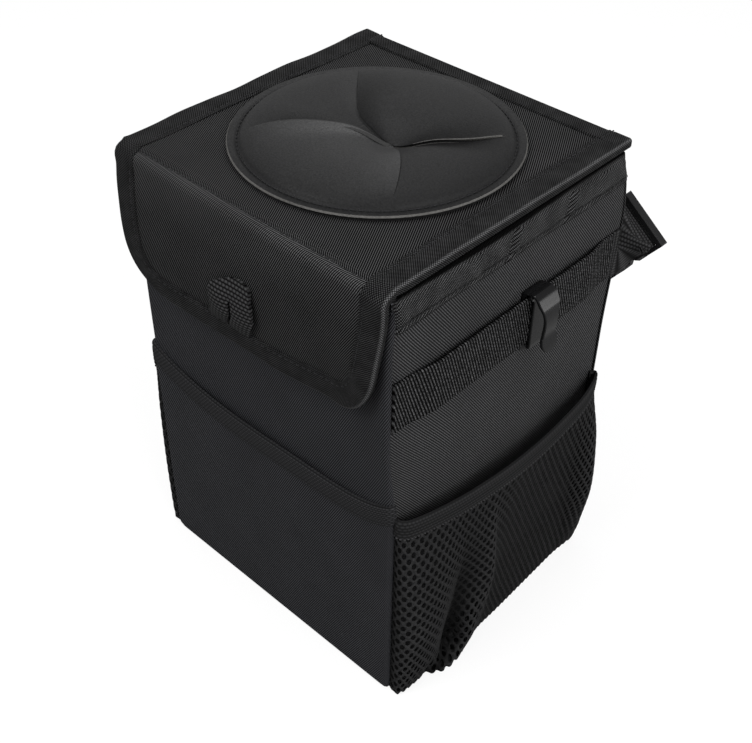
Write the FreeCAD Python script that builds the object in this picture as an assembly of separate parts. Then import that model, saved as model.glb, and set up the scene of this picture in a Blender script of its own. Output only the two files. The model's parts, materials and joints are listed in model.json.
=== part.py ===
# Car bin: a padded cloth box with a lid, a front flap, mesh side pockets and a hanging strap.
# Lengths in millimetres. X runs across the front, Y to the back, Z up.
# The origin is the middle of the underside.
import FreeCAD, Part
import math, os

os.makedirs("parts", exist_ok=True)
V = FreeCAD.Vector

# The box
body_width = 161.0
body_depth = 150.0
rim_height = 244.5
skin = 2.0          # padded outer cloth of the walls
board = 1.5         # stiffening board in every wall
lining = 0.5        # waterproof bag inside
corner_round = 1.9  # outer upright edges of the side walls, which leave a seam groove

# Tape round the rim
rim_tape = 1.0       # its outer leg
rim_tape_top = 0.8
rim_tape_inner = 0.6
rim_tape_drop = 15.5
rim_tape_inner_drop = 11.0

# Lid
lid_gap = 0.3       # air between the rim tape and the closed lid
lid_narrower = 1.8   # than the box, before its tapes
lid_skin = 2.0
lid_board = 1.5
lid_lining = 0.5
lid_tape = 0.9      # outer leg of the tape along the lid's sides
lid_tape_top = 0.8
lid_tape_width = 11.5
lid_tape_stop = 0.9  # lid tapes end behind the crease
hinge_tape = 0.8
hinge_tape_drop = 14.0
hinge_gap = 0.7     # hinge line behind its tape

# Round opening in the lid, closed by four petals
disc_radius = 65.5
disc_thick = 3.0
hole_radius = 58.0
slit_radius = 56.5
slit_width = 0.9
tip_radius = 2.2
dome_height = 5.5
slit_swirl = 10.0    # degrees that a slit bows to one side
petal_lift = (4.2, -0.6, 1.2, -1.4)  # front, right, back and left petal, at their free edges

# Front flap
flap_gap = 0.4      # air between the rim tape and the flap
flap_inner_leg = 0.5
flap_lining = 0.8
flap_skin = 1.5
flap_outer_leg = 0.7
flap_drop = 71.9         # from the lid's top to the flap's lower edge
flap_corner = 25.0
flap_tape_width = 12.0
crease_gap = 0.3
patch_width = 26.0
patch_height = 20.0
patch_rise = 14.8        # above the flap's lower edge
loop_patch = 0.5
hook_gap = 0.3

# Pull tab on the flap
tab_x = -11.5
tab_leg = 13.0
tab_outer = 14.5
tab_slit = 1.3
tab_thick = 1.6
tab_dome = 6.0

# Front pocket
pocket_cloth = 1.0
pocket_over = 0.8    # how far the pocket reaches past the box's sides
pocket_hem_low = 126.0
pocket_hem_rise = 10.0
pocket_hem_band = 12.0
pocket_hem_cloth = 1.0
pocket_bow = 2.5
pocket_corner = 5.0

# Mesh pockets at the sides
mesh = 1.0
mesh_bulge = 14.0        # at the floor
mesh_hem_bulge = 9.5
mesh_pleat = 4.0
mesh_hem_front = 126.5
mesh_hem_low = 114.0
mesh_hem_back = 119.5
mesh_band = 13.5
mesh_hem_leg = 0.7
mesh_inset = 2.3         # pocket ends in from the box's front and back faces
gap_across = 10          # gaps along the wall
gap_up = 6               # gaps up the wall
gap_share = 0.62         # share of the pitch that is open

# Webbing along the sides
webbing_width = 26.0
webbing = 1.4
webbing_below_rim = 53.7 # to the webbing's middle
webbing_stand = 2.3      # air behind the webbing where the clip rides
webbing_sewn = 8.0
webbing_ramp = 10.0

# Sliding clips
clip_width = 13.0
clip_wall = 1.6
clip_end = 2.5
clip_play = 0.4
clip_edge_play = 0.5
clip_rest = 11.5
tongue = 1.8
tongue_length = 29.0
tongue_reach = 8.5
tongue_waist = 8.6
tongue_pad = 5.4         # radius of the round end

# Strap and side-release buckle at the back
strap_width = 25.0
buckle_out = 4.2         # bar's middle past the side wall
buckle_behind = 19.9     # bar's middle behind the back wall
buckle_rise = 11.8       # bar's middle above the webbing's middle
buckle_tilt = 37.8       # degrees that the buckle's length leans from straight down
buckle_half = 15.0
buckle_half_thick = 4.5
socket_length = 32.0
bar_radius = 1.3        # the inner bar, which the short strap is sewn round
bar_behind = 6.2        # distance from the flat end bar
end_bar = 3.0           # width of the flat end bar
prong_length = 20.0
plug_frame = 18.0
strap_level = 0.4        # underside of the strap above the middle of the buckle
strap_play = 0.4
strap_sag = 83.8         # loop's lowest point below the webbing's middle
strap_low_x = -5.0
strap_behind = 17.0      # middle of the loop behind the back wall

# Derived levels
hx, hy = body_width / 2, body_depth / 2
wall = skin + board + lining
rim_top = rim_height + rim_tape_top
lid_under = rim_top + lid_gap
lid_z1 = lid_under + lid_lining
lid_z2 = lid_z1 + lid_board
lid_top = lid_z2 + lid_skin
lx = (body_width - lid_narrower) / 2
flap_back = -(hy + rim_tape + flap_gap)
lining_back = flap_back - flap_inner_leg
fold_y = lining_back - flap_lining
flap_face = fold_y - flap_skin
fold_z = lid_top - crease_gap
flap_bottom = lid_top - flap_drop
patch_bottom = flap_bottom + patch_rise
webbing_middle = rim_height - webbing_below_rim
buckle_x, buckle_y = hx + buckle_out, hy + buckle_behind
buckle_z = webbing_middle + buckle_rise
strap_low = webbing_middle - strap_sag
tab_base = flap_bottom - flap_outer_leg + flap_tape_width
lid_front = fold_y + crease_gap
lid_back = hy + rim_tape + hinge_tape + hinge_gap
hinge_z = rim_top + lid_gap / 2


def save(shape, name):
    if not shape.isValid():
        print("not valid:", name)
    shape.exportStep("parts/" + name + ".step")
    print(name, len(shape.Solids), "solid,", len(shape.Faces), "faces")


def box(x0, x1, y0, y1, z0, z1):
    return Part.makeBox(x1 - x0, y1 - y0, z1 - z0, V(x0, y0, z0))


def mirrored(shape):
    return shape.mirror(V(0, 0, 0), V(1, 0, 0))


def quad(a, b, c, d):
    # One flat face where the four corners lie in a plane, else two triangles
    pts = []
    for p in (a, b, c, d):
        if not any(p.distanceToPoint(q) < 1e-6 for q in pts):
            pts.append(p)
    if len(pts) < 3:
        return []
    if len(pts) == 3:
        return [Part.Face(Part.makePolygon(pts + [pts[0]]))]
    n = (pts[1] - pts[0]).cross(pts[2] - pts[0])
    if n.Length > 1e-9 and abs(n.normalize().dot(pts[3] - pts[0])) < 1e-7:
        return [Part.Face(Part.makePolygon(pts + [pts[0]]))]
    return [Part.Face(Part.makePolygon([a, b, c, a])), Part.Face(Part.makePolygon([a, c, d, a]))]


def closed_solid(faces):
    shell = Part.makeShell(faces)
    shell.sewShape()
    solid = Part.makeSolid(shell)
    if solid.Volume < 0:
        solid.reverse()
    return solid


def cloth(outer, inner, gone=lambda i, j: False, around=False):
    # A sheet between two grids of points; cells that are gone leave real openings
    ni, nj = len(outer), len(outer[0])
    faces, rim = [], {}
    for i in range(ni if around else ni - 1):
        k = (i + 1) % ni
        for j in range(nj - 1):
            if gone(i, j):
                continue
            faces += quad(outer[i][j], outer[k][j], outer[k][j + 1], outer[i][j + 1])
            faces += quad(inner[i][j + 1], inner[k][j + 1], inner[k][j], inner[i][j])
            ring = ((i, j), (k, j), (k, j + 1), (i, j + 1))
            for a, b in zip(ring, ring[1:] + ring[:1]):
                if (b, a) in rim:
                    del rim[(b, a)]
                else:
                    rim[(a, b)] = True
    for a, b in rim:
        faces += quad(outer[b[0]][b[1]], outer[a[0]][a[1]], inner[a[0]][a[1]], inner[b[0]][b[1]])
    return closed_solid(faces)


def band(rings):
    # A long piece through equal sections, capped at both ends
    faces = []
    n = len(rings[0])
    for r, s in zip(rings, rings[1:]):
        for k in range(n):
            m = (k + 1) % n
            faces += quad(r[k], s[k], s[m], r[m])
    for r in (rings[0], rings[-1]):
        faces.append(Part.Face(Part.makePolygon(r + [r[0]])))
    return closed_solid(faces)


def ribbon(points, across, width, thick):
    # Webbing along a path; across holds the direction of its width at each point
    rings = []
    for i, p in enumerate(points):
        t = V(0, 0, 0)
        if i > 0:
            t = t + (p - points[i - 1]).normalize()
        if i < len(points) - 1:
            t = t + (points[i + 1] - p).normalize()
        t.normalize()
        w = across[i] - t * across[i].dot(t)
        w.normalize()
        n = t.cross(w)
        a, b = w * (width / 2), n * (thick / 2)
        rings.append([p - a - b, p + a - b, p + a + b, p - a + b])
    return band(rings)


def smooth(keys, steps):
    # Points on a soft curve through the keys
    out = []
    for i in range(len(keys) - 1):
        p0, p1, p2 = keys[max(i - 1, 0)], keys[i], keys[i + 1]
        p3 = keys[min(i + 2, len(keys) - 1)]
        for s in range(steps):
            u = s / steps
            out.append((p1 * 2 + (p2 - p0) * u + (p0 * 2 - p1 * 5 + p2 * 4 - p3) * u ** 2
                        + (p1 * 3 - p0 - p2 * 3 + p3) * u ** 3) * 0.5)
    return out + [keys[-1]]


def shifted(path, d):
    # A level path moved sideways by d, kept parallel; its two ends stay square to X
    out = []
    for i, p in enumerate(path):
        a = (p - path[i - 1]).normalize() if i else (path[1] - p).normalize()
        b = (path[i + 1] - p).normalize() if i < len(path) - 1 else a
        na, nb = V(a.y, -a.x, 0), V(b.y, -b.x, 0)
        n = na + nb
        n.normalize()
        out.append(p + n * (d / n.dot(na)))
    return out


def walls():
    # Four padded walls and a base, each a skin with its own board behind it
    # the front and back skins wrap the upright corners and the side skins are sewn in between
    front = box(-hx, hx, -hy, -hy + skin, 0, rim_height)
    upright = [e for e in front.Edges if abs(e.BoundBox.ZLength - rim_height) < 1e-6
               and e.BoundBox.YMax < -hy + 0.01]
    front = front.makeFillet(corner_round, upright)
    save(front, "front_panel")
    save(front.mirror(V(0, 0, 0), V(0, 1, 0)), "back_panel")
    side = box(hx - skin, hx, -hy + skin, hy - skin, 0, rim_height)
    save(side, "right_panel")
    save(mirrored(side), "left_panel")
    save(box(-hx + skin, hx - skin, -hy + skin, hy - skin, 0, skin), "base_panel")
    bx, by = hx - skin, hy - skin
    top = rim_height
    save(box(bx - board, bx, -by, by, skin, top), "right_board")
    save(box(-bx, -bx + board, -by, by, skin, top), "left_board")
    save(box(-bx + board, bx - board, -by, -by + board, skin, top), "front_board")
    save(box(-bx + board, bx - board, by - board, by, skin, top), "back_board")
    save(box(-bx + board, bx - board, -by + board, by - board, skin, skin + board), "base_board")
    ox, oy, oz = bx - board, by - board, skin + board
    bag = box(-ox, ox, -oy, oy, oz, top).cut(
        box(-ox + lining, ox - lining, -oy + lining, oy - lining, oz + lining, top + 1))
    save(bag, "liner")


def rim():
    # Tape folded over the top edge of all the layers
    out = rim_tape
    tape = box(-hx - out, hx + out, -hy - out, hy + out, rim_height - rim_tape_drop, rim_top)
    upright = [e for e in tape.Edges if abs(e.BoundBox.ZLength - rim_tape_drop - rim_tape_top) < 1e-6]
    tape = tape.makeFillet(corner_round + out, upright)
    core = box(-hx, hx, -hy, hy, 0, rim_height)
    core = core.makeFillet(corner_round, [e for e in core.Edges if abs(e.BoundBox.ZLength - rim_height) < 1e-6])
    ix, iy = hx - wall, hy - wall
    core = core.cut(box(-ix, ix, -iy, iy, -1, rim_height + 1))
    jx, jy = ix - rim_tape_inner, iy - rim_tape_inner
    tape = tape.cut(core).cut(box(-jx, jx, -jy, jy, 0, rim_top + 1))
    tape = tape.cut(box(-ix, ix, -iy, iy, 0, rim_height - rim_tape_inner_drop))
    save(tape, "rim_tape")


def lid():
    # Skin, board and lining with a round hole; the lining stops short of the side tapes
    hole = Part.makeCylinder(hole_radius, 20, V(0, 0, lid_under - 5))
    save(box(-lx, lx, lid_front, lid_back, lid_z2, lid_top).cut(hole), "lid_skin")
    save(box(-lx, lx, lid_front, lid_back, lid_z1, lid_z2).cut(hole), "lid_board")
    inner = lx + lid_tape - lid_tape_width
    save(box(-inner, inner, lid_front, lid_back, lid_under, lid_z1).cut(hole), "lid_lining")
    tape = box(inner, lx + lid_tape, lid_front + lid_tape_stop, lid_back, lid_under, lid_top + lid_tape_top)
    edge = [e for e in tape.Edges if e.BoundBox.XMin > lx + lid_tape - 1e-6
            and e.BoundBox.ZMin > lid_top + lid_tape_top - 1e-6]
    tape = tape.makeFillet(0.6, edge)
    tape = tape.cut(box(0, lx, lid_front - 1, lid_back + 1, lid_z1, lid_top))
    save(tape, "lid_tape_right")
    save(mirrored(tape), "lid_tape_left")
    half = hx - 4
    save(box(-half, half, hy + rim_tape, hy + rim_tape + hinge_tape,
             rim_height - hinge_tape_drop, rim_top), "lid_hinge_tape")


def disc_height(r, share, lift):
    # Cushion shape: steep at the stitched ring, then nearly level; a petal's free edges stand up or sink
    q = min(r / (hole_radius + 1.5), 1.0)
    rise = dome_height * (1 - q ** 5) ** 0.6
    free = (1 - min(r / slit_radius, 1.0) ** 2) * (0.35 + 0.65 * abs(2 * share - 1) ** 1.5)
    return lid_top + disc_thick + rise + lift * free


def petal_disc():
    # One die-cut piece: a flat ring and four petals parted by bowed slits
    radii = [tip_radius, 12, 25, 38, 49, slit_radius, hole_radius + 1.5, 62, disc_radius]
    cols = 6
    outer, inner, slits = [], [], set()
    for petal in range(4):
        first = -135 + 90 * petal
        for c in range(cols + 1):
            line_o, line_i = [], []
            for r in radii:
                half_slit = math.degrees(slit_width / 2 / max(r, tip_radius))
                low, high = first + half_slit, first + 90 - half_slit
                bow = slit_swirl * math.sin(math.pi * min(r / slit_radius, 1.0))
                a = math.radians(low + (high - low) * c / cols + bow)
                z = disc_height(r, c / cols, petal_lift[petal])
                line_o.append(V(r * math.cos(a), r * math.sin(a), z))
                line_i.append(V(r * math.cos(a), r * math.sin(a), z - disc_thick))
            outer.append(line_o)
            inner.append(line_i)
        slits.add(len(outer) - 1)
    last = radii.index(slit_radius)
    save(cloth(outer, inner, lambda i, j: i in slits and j < last, around=True), "petal_disc")


def rounded_plate(half, z0, z1, y0, y1, corner):
    # An upright plate whose two lower corners are round
    plate = box(-half, half, y0, y1, z0, z1)
    low = [e for e in plate.Edges if e.BoundBox.YLength > abs(y1 - y0) - 1e-6 and e.BoundBox.ZMax < z0 + 1e-6]
    return plate.makeFillet(corner, low)


def flap():
    # Skin and lining edged with tape on three sides, and half of a touch fastener behind
    under = lid_under - flap_gap
    save(rounded_plate(lx, flap_bottom, fold_z, flap_face, fold_y, flap_corner), "flap_skin")
    save(rounded_plate(lx, flap_bottom, under, fold_y, lining_back, flap_corner), "flap_lining")
    e = flap_outer_leg
    window = rounded_plate(lx + e - flap_tape_width, flap_bottom - e + flap_tape_width, fold_z + 5,
                           flap_face - 5, flap_back + 5, flap_corner + e - flap_tape_width)
    tape = rounded_plate(lx + e, flap_bottom - e, fold_z, flap_face - e, fold_y, flap_corner + e)
    tape = tape.fuse(rounded_plate(lx + e, flap_bottom - e, under, fold_y - 0.1, flap_back, flap_corner + e))
    core = rounded_plate(lx, flap_bottom, fold_z + 1, flap_face, fold_y, flap_corner).fuse(
        rounded_plate(lx, flap_bottom, under + 1, fold_y - 0.1, lining_back, flap_corner))
    save(tape.cut(core).cut(window).removeSplitter(), "flap_tape")
    half = patch_width / 2
    back = -hy - loop_patch - hook_gap
    save(box(-half, half, lining_back, back, patch_bottom, patch_bottom + patch_height), "hook_patch")
    save(box(-half - 1, half + 1, -hy - loop_patch, -hy, patch_bottom - 1, patch_bottom + patch_height + 1),
         "loop_patch")


def pull_tab():
    # Webbing bent on edge into an arch; its legs are sewn under the flap's tape edge
    arc, legs, across = 10, 2, 2
    middle = tab_base + tab_leg
    outer, inner = [], []
    for i in range(legs + arc + legs + 1):
        row_o, row_i = [], []
        for j in range(across + 1):
            r = tab_slit / 2 + (tab_outer - tab_slit / 2) * j / across
            if i <= legs:
                x, z = -r, tab_base + tab_leg * i / legs
            elif i >= legs + arc:
                x, z = r, middle - tab_leg * (i - legs - arc) / legs
            else:
                a = math.pi * (1 - (i - legs) / arc)
                x, z = r * math.cos(a), middle + r * math.sin(a)
            rise = max(0.0, (z - tab_base) / (tab_leg + tab_outer))
            y = flap_face - tab_dome * math.sin(math.pi / 2 * rise) ** 1.5
            row_i.append(V(tab_x + x, y, z))
            row_o.append(V(tab_x + x, y - tab_thick, z))
        outer.append(row_o)
        inner.append(row_i)
    return cloth(outer, inner)


def front_pocket():
    # A full-width cloth panel with a sagging elastic hem, flat at the seams and bowed in between
    half = hx + pocket_over
    stations = [0, 0.016, 0.038, 0.062, 0.11, 0.19, 0.29, 0.4]
    stations = stations + [0.5] + [1 - s for s in reversed(stations)]
    outer, inner, hem = [], [], []
    for s in stations:
        x = half * (2 * s - 1)
        top = pocket_hem_low + pocket_hem_rise * abs(x / half) ** 5
        bow = pocket_bow * math.sin(math.pi * s) ** 1.2
        near = max(0.0, abs(x) - half + pocket_corner)
        low = pocket_corner - math.sqrt(max(pocket_corner ** 2 - near ** 2, 0))
        # the hem zone is upright, so the band lies flat on it
        levels = [(low, 0), (low + 22, 0.2), (72, 0.75), (top - pocket_hem_band - 1, 1),
                  (top - pocket_hem_cloth, 1)]
        outer.append([V(x, -hy - pocket_cloth - bow * b, z) for z, b in levels])
        inner.append([V(x, -hy - bow * b, z) for z, b in levels])
        y = -hy - bow
        edge = top - pocket_hem_cloth
        hem.append([V(x, y - pocket_cloth, top - pocket_hem_band), V(x, y - pocket_cloth, edge),
                    V(x, y, edge), V(x, y, top), V(x, y - pocket_cloth - pocket_hem_cloth, top),
                    V(x, y - pocket_cloth - pocket_hem_cloth, top - pocket_hem_band)])
    save(cloth(outer, inner), "front_pocket")
    save(band(hem), "front_pocket_hem")


def mesh_path(bulge, shape, y_end):
    # Level outline of a side pocket, from the front seam out and back to the rear seam
    return [V(hx + bulge * b, y_end * t, 0) for b, t in shape]


def sampled(path, marks):
    # Points at given shares of a path's length
    run = [0.0]
    for a, b in zip(path, path[1:]):
        run.append(run[-1] + (b - a).Length)
    out = []
    for m in marks:
        d = m * run[-1]
        i = max(k for k in range(len(run) - 1) if run[k] <= d + 1e-9)
        u = (d - run[i]) / (run[i + 1] - run[i])
        out.append(path[i] + (path[i + 1] - path[i]) * min(u, 1.0))
    return out


def mesh_pocket():
    # Stretch mesh round the side, closed below and edged above with a folded elastic band
    y_end = hy - mesh_inset
    marks = [0.0, 0.022]
    pitch = (1 - 2 * 0.05) / gap_across
    for g in range(gap_across):
        start = 0.05 + pitch * (g + (1 - gap_share) / 2)
        marks += [start, start + pitch * gap_share]
    marks += [0.978, 1.0]
    p = mesh_pleat / mesh_bulge
    # the floor line swells, dips into a pleat, swells again and then runs straight to a full rear end
    low_shape = [(0, -1), (0.3, -1), (0.52, -0.975), (0.64, -0.89), (0.7, -0.81), (0.97 - p, -0.72),
                 (1.0, -0.58), (0.9, -0.33), (0.71, -0.14), (0.68, 0.11), (0.67, 0.37), (0.67, 0.62),
                 (0.75, 0.82), (0.85, 0.96), (0.4, 1), (0, 1)]
    top_shape = [(0, -1), (0.45, -1), (0.66, -0.88), (0.82, -0.6), (0.95, -0.25), (1.0, 0.0), (0.98, 0.3),
                 (0.9, 0.6), (0.72, 0.86), (0.45, 1), (0, 1)]
    floor = sampled(mesh_path(mesh_bulge, low_shape, y_end), marks)
    upper = sampled(mesh_path(mesh_hem_bulge, top_shape, y_end), marks)
    share = gap_share
    zone_low, zone_high = 7.0, mesh_hem_low - mesh_band - 2
    rows_up = []
    step = (zone_high - zone_low) / gap_up
    for g in range(gap_up):
        rows_up += [zone_low + step * (g + (1 - share) / 2), zone_low + step * (g + (1 + share) / 2)]
    levels = [0.0, mesh] + rows_up
    columns = len(marks)
    hem_out, hem_in = shifted(upper, mesh / 2), shifted(upper, -mesh / 2)
    outer = [[] for _ in marks]
    inner = [[] for _ in marks]
    top = []
    for p in upper:
        t = p.y / y_end
        if t < 0.25:
            u = (t + 1) / 1.25
            top.append(mesh_hem_front + (mesh_hem_low - mesh_hem_front) * math.sin(math.pi / 2 * u))
        else:
            u = (t - 0.25) / 0.75
            top.append(mesh_hem_low + (mesh_hem_back - mesh_hem_low) * u ** 2)
    for level in levels:
        w = min(level / zone_high, 1.0) ** 1.5
        path = [a * (1 - w) + b * w for a, b in zip(floor, upper)]
        out, inn = shifted(path, mesh / 2), shifted(path, -mesh / 2)
        for i in range(columns):
            if level == 0.0:
                # the bottom sheet: from the box's side out to the wall
                y_o, y_i = out[i].y, inn[i].y
                outer[i] += [V(hx, y_o, 0), V(out[i].x, y_o, 0)]
                inner[i] += [V(hx, y_i, mesh), V(inn[i].x, y_i, mesh)]
            elif level > mesh:
                outer[i].append(V(out[i].x, out[i].y, level))
                inner[i].append(V(inn[i].x, inn[i].y, level))
    for i in range(columns):
        for z in (top[i] - mesh_band - 1, top[i] - mesh_hem_leg):
            outer[i].append(V(hem_out[i].x, hem_out[i].y, z))
            inner[i].append(V(hem_in[i].x, hem_in[i].y, z))
    first_row = 2

    def gone(i, j):
        across_ok = i >= 2 and (i - 2) % 2 == 0 and (i - 2) // 2 < gap_across
        up_ok = j >= first_row and (j - first_row) % 2 == 0 and (j - first_row) // 2 < gap_up
        return across_ok and up_ok

    pocket = cloth(outer, inner, gone)
    leg_out, leg_in = shifted(upper, mesh / 2 + mesh_hem_leg), shifted(upper, -mesh / 2 - mesh_hem_leg)
    hem = []
    for i in range(columns):
        low, edge, high = top[i] - mesh_band, top[i] - mesh_hem_leg, top[i]
        corners = [(hem_out, low), (hem_out, edge), (hem_in, edge), (hem_in, low),
                   (leg_in, low), (leg_in, high), (leg_out, high), (leg_out, low)]
        hem.append([V(p[i].x, p[i].y, z) for p, z in corners])
    return pocket, band(hem)


def side_webbing():
    # Webbing sewn down at both ends and standing clear in between, so a clip can ride on it
    flat = hx + webbing / 2
    free = flat + webbing_stand
    end = hy - skin
    a, b = end - webbing_sewn, end - webbing_sewn - webbing_ramp
    path = [V(flat, -end, 0), V(flat, -a, 0), V(free, -b, 0), V(free, b, 0), V(flat, a, 0), V(flat, end, 0)]
    out, inn = shifted(path, webbing / 2), shifted(path, -webbing / 2)
    z0 = webbing_middle - webbing_width / 2
    ring = [p + V(0, 0, z0) for p in out] + [p + V(0, 0, z0) for p in reversed(inn)]
    return Part.Face(Part.makePolygon(ring + [ring[0]])).extrude(V(0, 0, webbing_width))


def strip(points, thick):
    # A bent strip in the XZ plane: the path offset to both sides
    left, right = [], []
    for i, p in enumerate(points):
        t = points[min(i + 1, len(points) - 1)] - points[max(i - 1, 0)]
        t.normalize()
        n = V(-t.z, 0, t.x)
        left.append(p + n * (thick / 2))
        right.append(p - n * (thick / 2))
    ring = left + right[::-1]
    return Part.Face(Part.makePolygon(ring + [ring[0]]))


def clip():
    # One moulding: a frame round the webbing and a springy tongue that hooks over a bag's handle
    inner_x = hx + webbing_stand - clip_play
    outer_x = hx + webbing_stand + webbing + clip_play
    low = webbing_middle - webbing_width / 2 - clip_edge_play
    high = webbing_middle + webbing_width / 2 + clip_edge_play
    y0 = clip_rest - clip_width / 2
    frame = box(inner_x - clip_wall + 0.05, outer_x + clip_wall, y0, y0 + clip_width, low - clip_end,
                high + clip_end)
    frame = frame.makeFillet(1.4, [e for e in frame.Edges if e.BoundBox.YLength > clip_width - 1e-6
                                   and e.BoundBox.XMin > outer_x])
    frame = frame.cut(box(inner_x, outer_x, y0 - 1, y0 + clip_width + 1, low, high))
    x, z = outer_x + clip_wall, high + clip_end
    # the path as shares of the tongue's reach and length
    r, d = tongue_reach, tongue_length
    shares = [(-0.16, 0.03), (0.12, 0.01), (0.5, 0.13), (0.74, 0.28), (0.8, 0.46), (0.74, 0.67),
              (0.82, 0.82), (0.93, 1.0)]
    keys = [V(x + a * r, 0, z - b * d) for a, b in shares]
    face = strip(smooth(keys, 3), tongue)
    face.translate(V(0, y0, 0))
    lever = face.extrude(V(0, clip_width, 0))
    # seen from outside the tongue narrows to a waist and ends in a round pad
    pad_z = z - d + tongue_pad
    half, waist, near = clip_width / 2, tongue_waist / 2, x - clip_wall - tongue
    side = [V(near, half, z + 0.1 * d), V(near, half, z - 0.13 * d), V(near, 0.78 * half, z - 0.28 * d),
            V(near, waist, z - 0.42 * d), V(near, waist, pad_z + 0.7 * tongue_pad)]
    edge = smooth(side, 2)
    outline = edge + [V(p.x, -p.y, p.z) for p in reversed(edge)]
    cutter = Part.Face(Part.makePolygon(outline + [outline[0]])).extrude(V(2.5 * r, 0, 0))
    pad = Part.makeCylinder(tongue_pad, 2.5 * r, V(near, 0, pad_z), V(1, 0, 0))
    cutter = cutter.fuse(pad)
    cutter.translate(V(0, clip_rest, 0))
    return frame.fuse(lever.common(cutter)).removeSplitter()


def buckle_place(shape):
    # From the buckle's own axes (X width, Y length, Z thickness) to its place behind the box
    a = math.radians(buckle_tilt)
    w = V(math.cos(a), 0, -math.sin(a))
    down = V(-math.sin(a), 0, -math.cos(a))
    out = V(0, 1, 0)
    m = FreeCAD.Matrix(w.x, down.x, out.x, buckle_x, w.y, down.y, out.y, buckle_y,
                       w.z, down.z, out.z, buckle_z, 0, 0, 0, 1)
    moved = shape.copy()
    moved.Placement = FreeCAD.Placement(m)
    return moved


def buckle_point(x, y, z):
    a = math.radians(buckle_tilt)
    return V(buckle_x + x * math.cos(a) - y * math.sin(a), buckle_y + z,
             buckle_z - x * math.sin(a) - y * math.cos(a))


def socket():
    # Buckle half with the end bar: a flat sleeve, open at the sides for the two prongs
    b, t, length = buckle_half, buckle_half_thick, socket_length
    body = box(-b, b, bar_behind + 3.6, length, -t, t)
    body = body.makeChamfer(1.2, [e for e in body.Edges if e.BoundBox.YLength > length - bar_behind - 5])
    body = body.cut(box(-b + 2, b - 2, bar_behind + 5.2, length + 1, -t + 1.4, t - 3.4))
    for side in (-1, 1):
        body = body.cut(box(*sorted((side * (b - 4), side * (b + 1))), 15, 25, -t + 1.4, t - 3.4))
        notch = Part.makeCylinder(6.5, 2 * t + 2, V(side * (b + 3.5), 20, -t - 1))
        body = body.cut(notch)
    cheeks = []
    for side in (-1, 1):
        cheek = box(*sorted((side * (b - 2), side * b)), 0, bar_behind + 4, -bar_radius - 0.6, bar_radius + 0.6)
        cheeks.append(cheek)
    bar = Part.makeCylinder(bar_radius, 2 * b - 1, V(0.5 - b, bar_behind, 0), V(1, 0, 0))
    end = box(-b, b, -end_bar / 2, end_bar / 2, -bar_radius - 0.9, bar_radius + 0.9)
    end = end.makeChamfer(0.6, [e for e in end.Edges if e.BoundBox.YMax < 0])
    return body.fuse(cheeks + [bar, end]).removeSplitter()


def plug():
    # Buckle half with two prongs, a middle guide and a frame that the long strap runs through
    b, t, s = buckle_half, buckle_half_thick, socket_length
    start = s - prong_length
    low, high = -t + 1.7, strap_level - strap_play
    shoulder = box(-b, b, s + 0.5, s + 5, -t, high)
    guide = box(-1.8, 1.8, start + 6, s + 1, low, high)
    parts = [guide]
    for side in (-1, 1):
        arm = [V(side * 6.5, s + 1, low), V(side * 9.2, s + 1, low), V(side * 9.8, start + 9, low),
               V(side * 12.0, start + 9, low), V(side * 11.4, start + 4, low), V(side * 8.6, start, low),
               V(side * 6.0, start + 0.5, low), V(side * 6.3, start + 9, low)]
        parts.append(Part.Face(Part.makePolygon(arm + [arm[0]])).extrude(V(0, 0, high - low)))
    end = s + 5 + plug_frame
    floor = box(-b, b, s + 4, end, -t, high).cut(box(-b + 3, b - 3, s + 9, end - 4, -t - 1, high + 1))
    rails = [box(*sorted((side * (b - 2), side * b)), s + 2, end, -t, t) for side in (-1, 1)]
    top = strap_level + webbing + strap_play
    cross = box(-b, b, end - 8, end - 3.5, top, t)
    return shoulder.fuse(parts + [floor, cross] + rails).removeSplitter()


def short_strap():
    # From the back right corner, twisting up behind the flat end bar, round the inner bar and sewn on itself
    start = V(hx + webbing / 2, hy - skin, webbing_middle)
    r = bar_radius + webbing / 2 + 0.1
    flat = hx + webbing / 2
    keys = [V(flat, hy + 1.2, webbing_middle), V(flat + 0.3, hy + 6.0, webbing_middle + 0.3),
            buckle_point(-0.3, 2.2, -10.9) + V(-0.5, 0, -1.0), buckle_point(0, 3.2, -6.4),
            buckle_point(0, bar_behind - r, -1.2)]
    upright = V(0, 0, 1)
    a = math.radians(buckle_tilt)
    leaned = V(-math.cos(a), 0, math.sin(a))
    turn = [0.0, 0.12, 0.7, 0.95, 1.0]
    points, across = [start], [upright]
    curve = smooth(keys, 3)
    for i, p in enumerate(curve):
        k = min(i // 3, len(turn) - 2)
        u = turn[k] + (turn[k + 1] - turn[k]) * (i / 3 - k)
        points.append(p)
        across.append(upright * (1 - u) + leaned * u)
    for step in range(1, 8):
        angle = math.pi * step / 8
        points.append(buckle_point(0, bar_behind - r * math.cos(angle), r * math.sin(angle)))
        across.append(leaned)
    for y, z in ((r, 0), (r, -1.2), (0.9, -4.2), (-0.1, -7.0)):
        points.append(buckle_point(0, bar_behind + y, z))
        across.append(leaned)
    return ribbon(points, across, strap_width, webbing)


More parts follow.
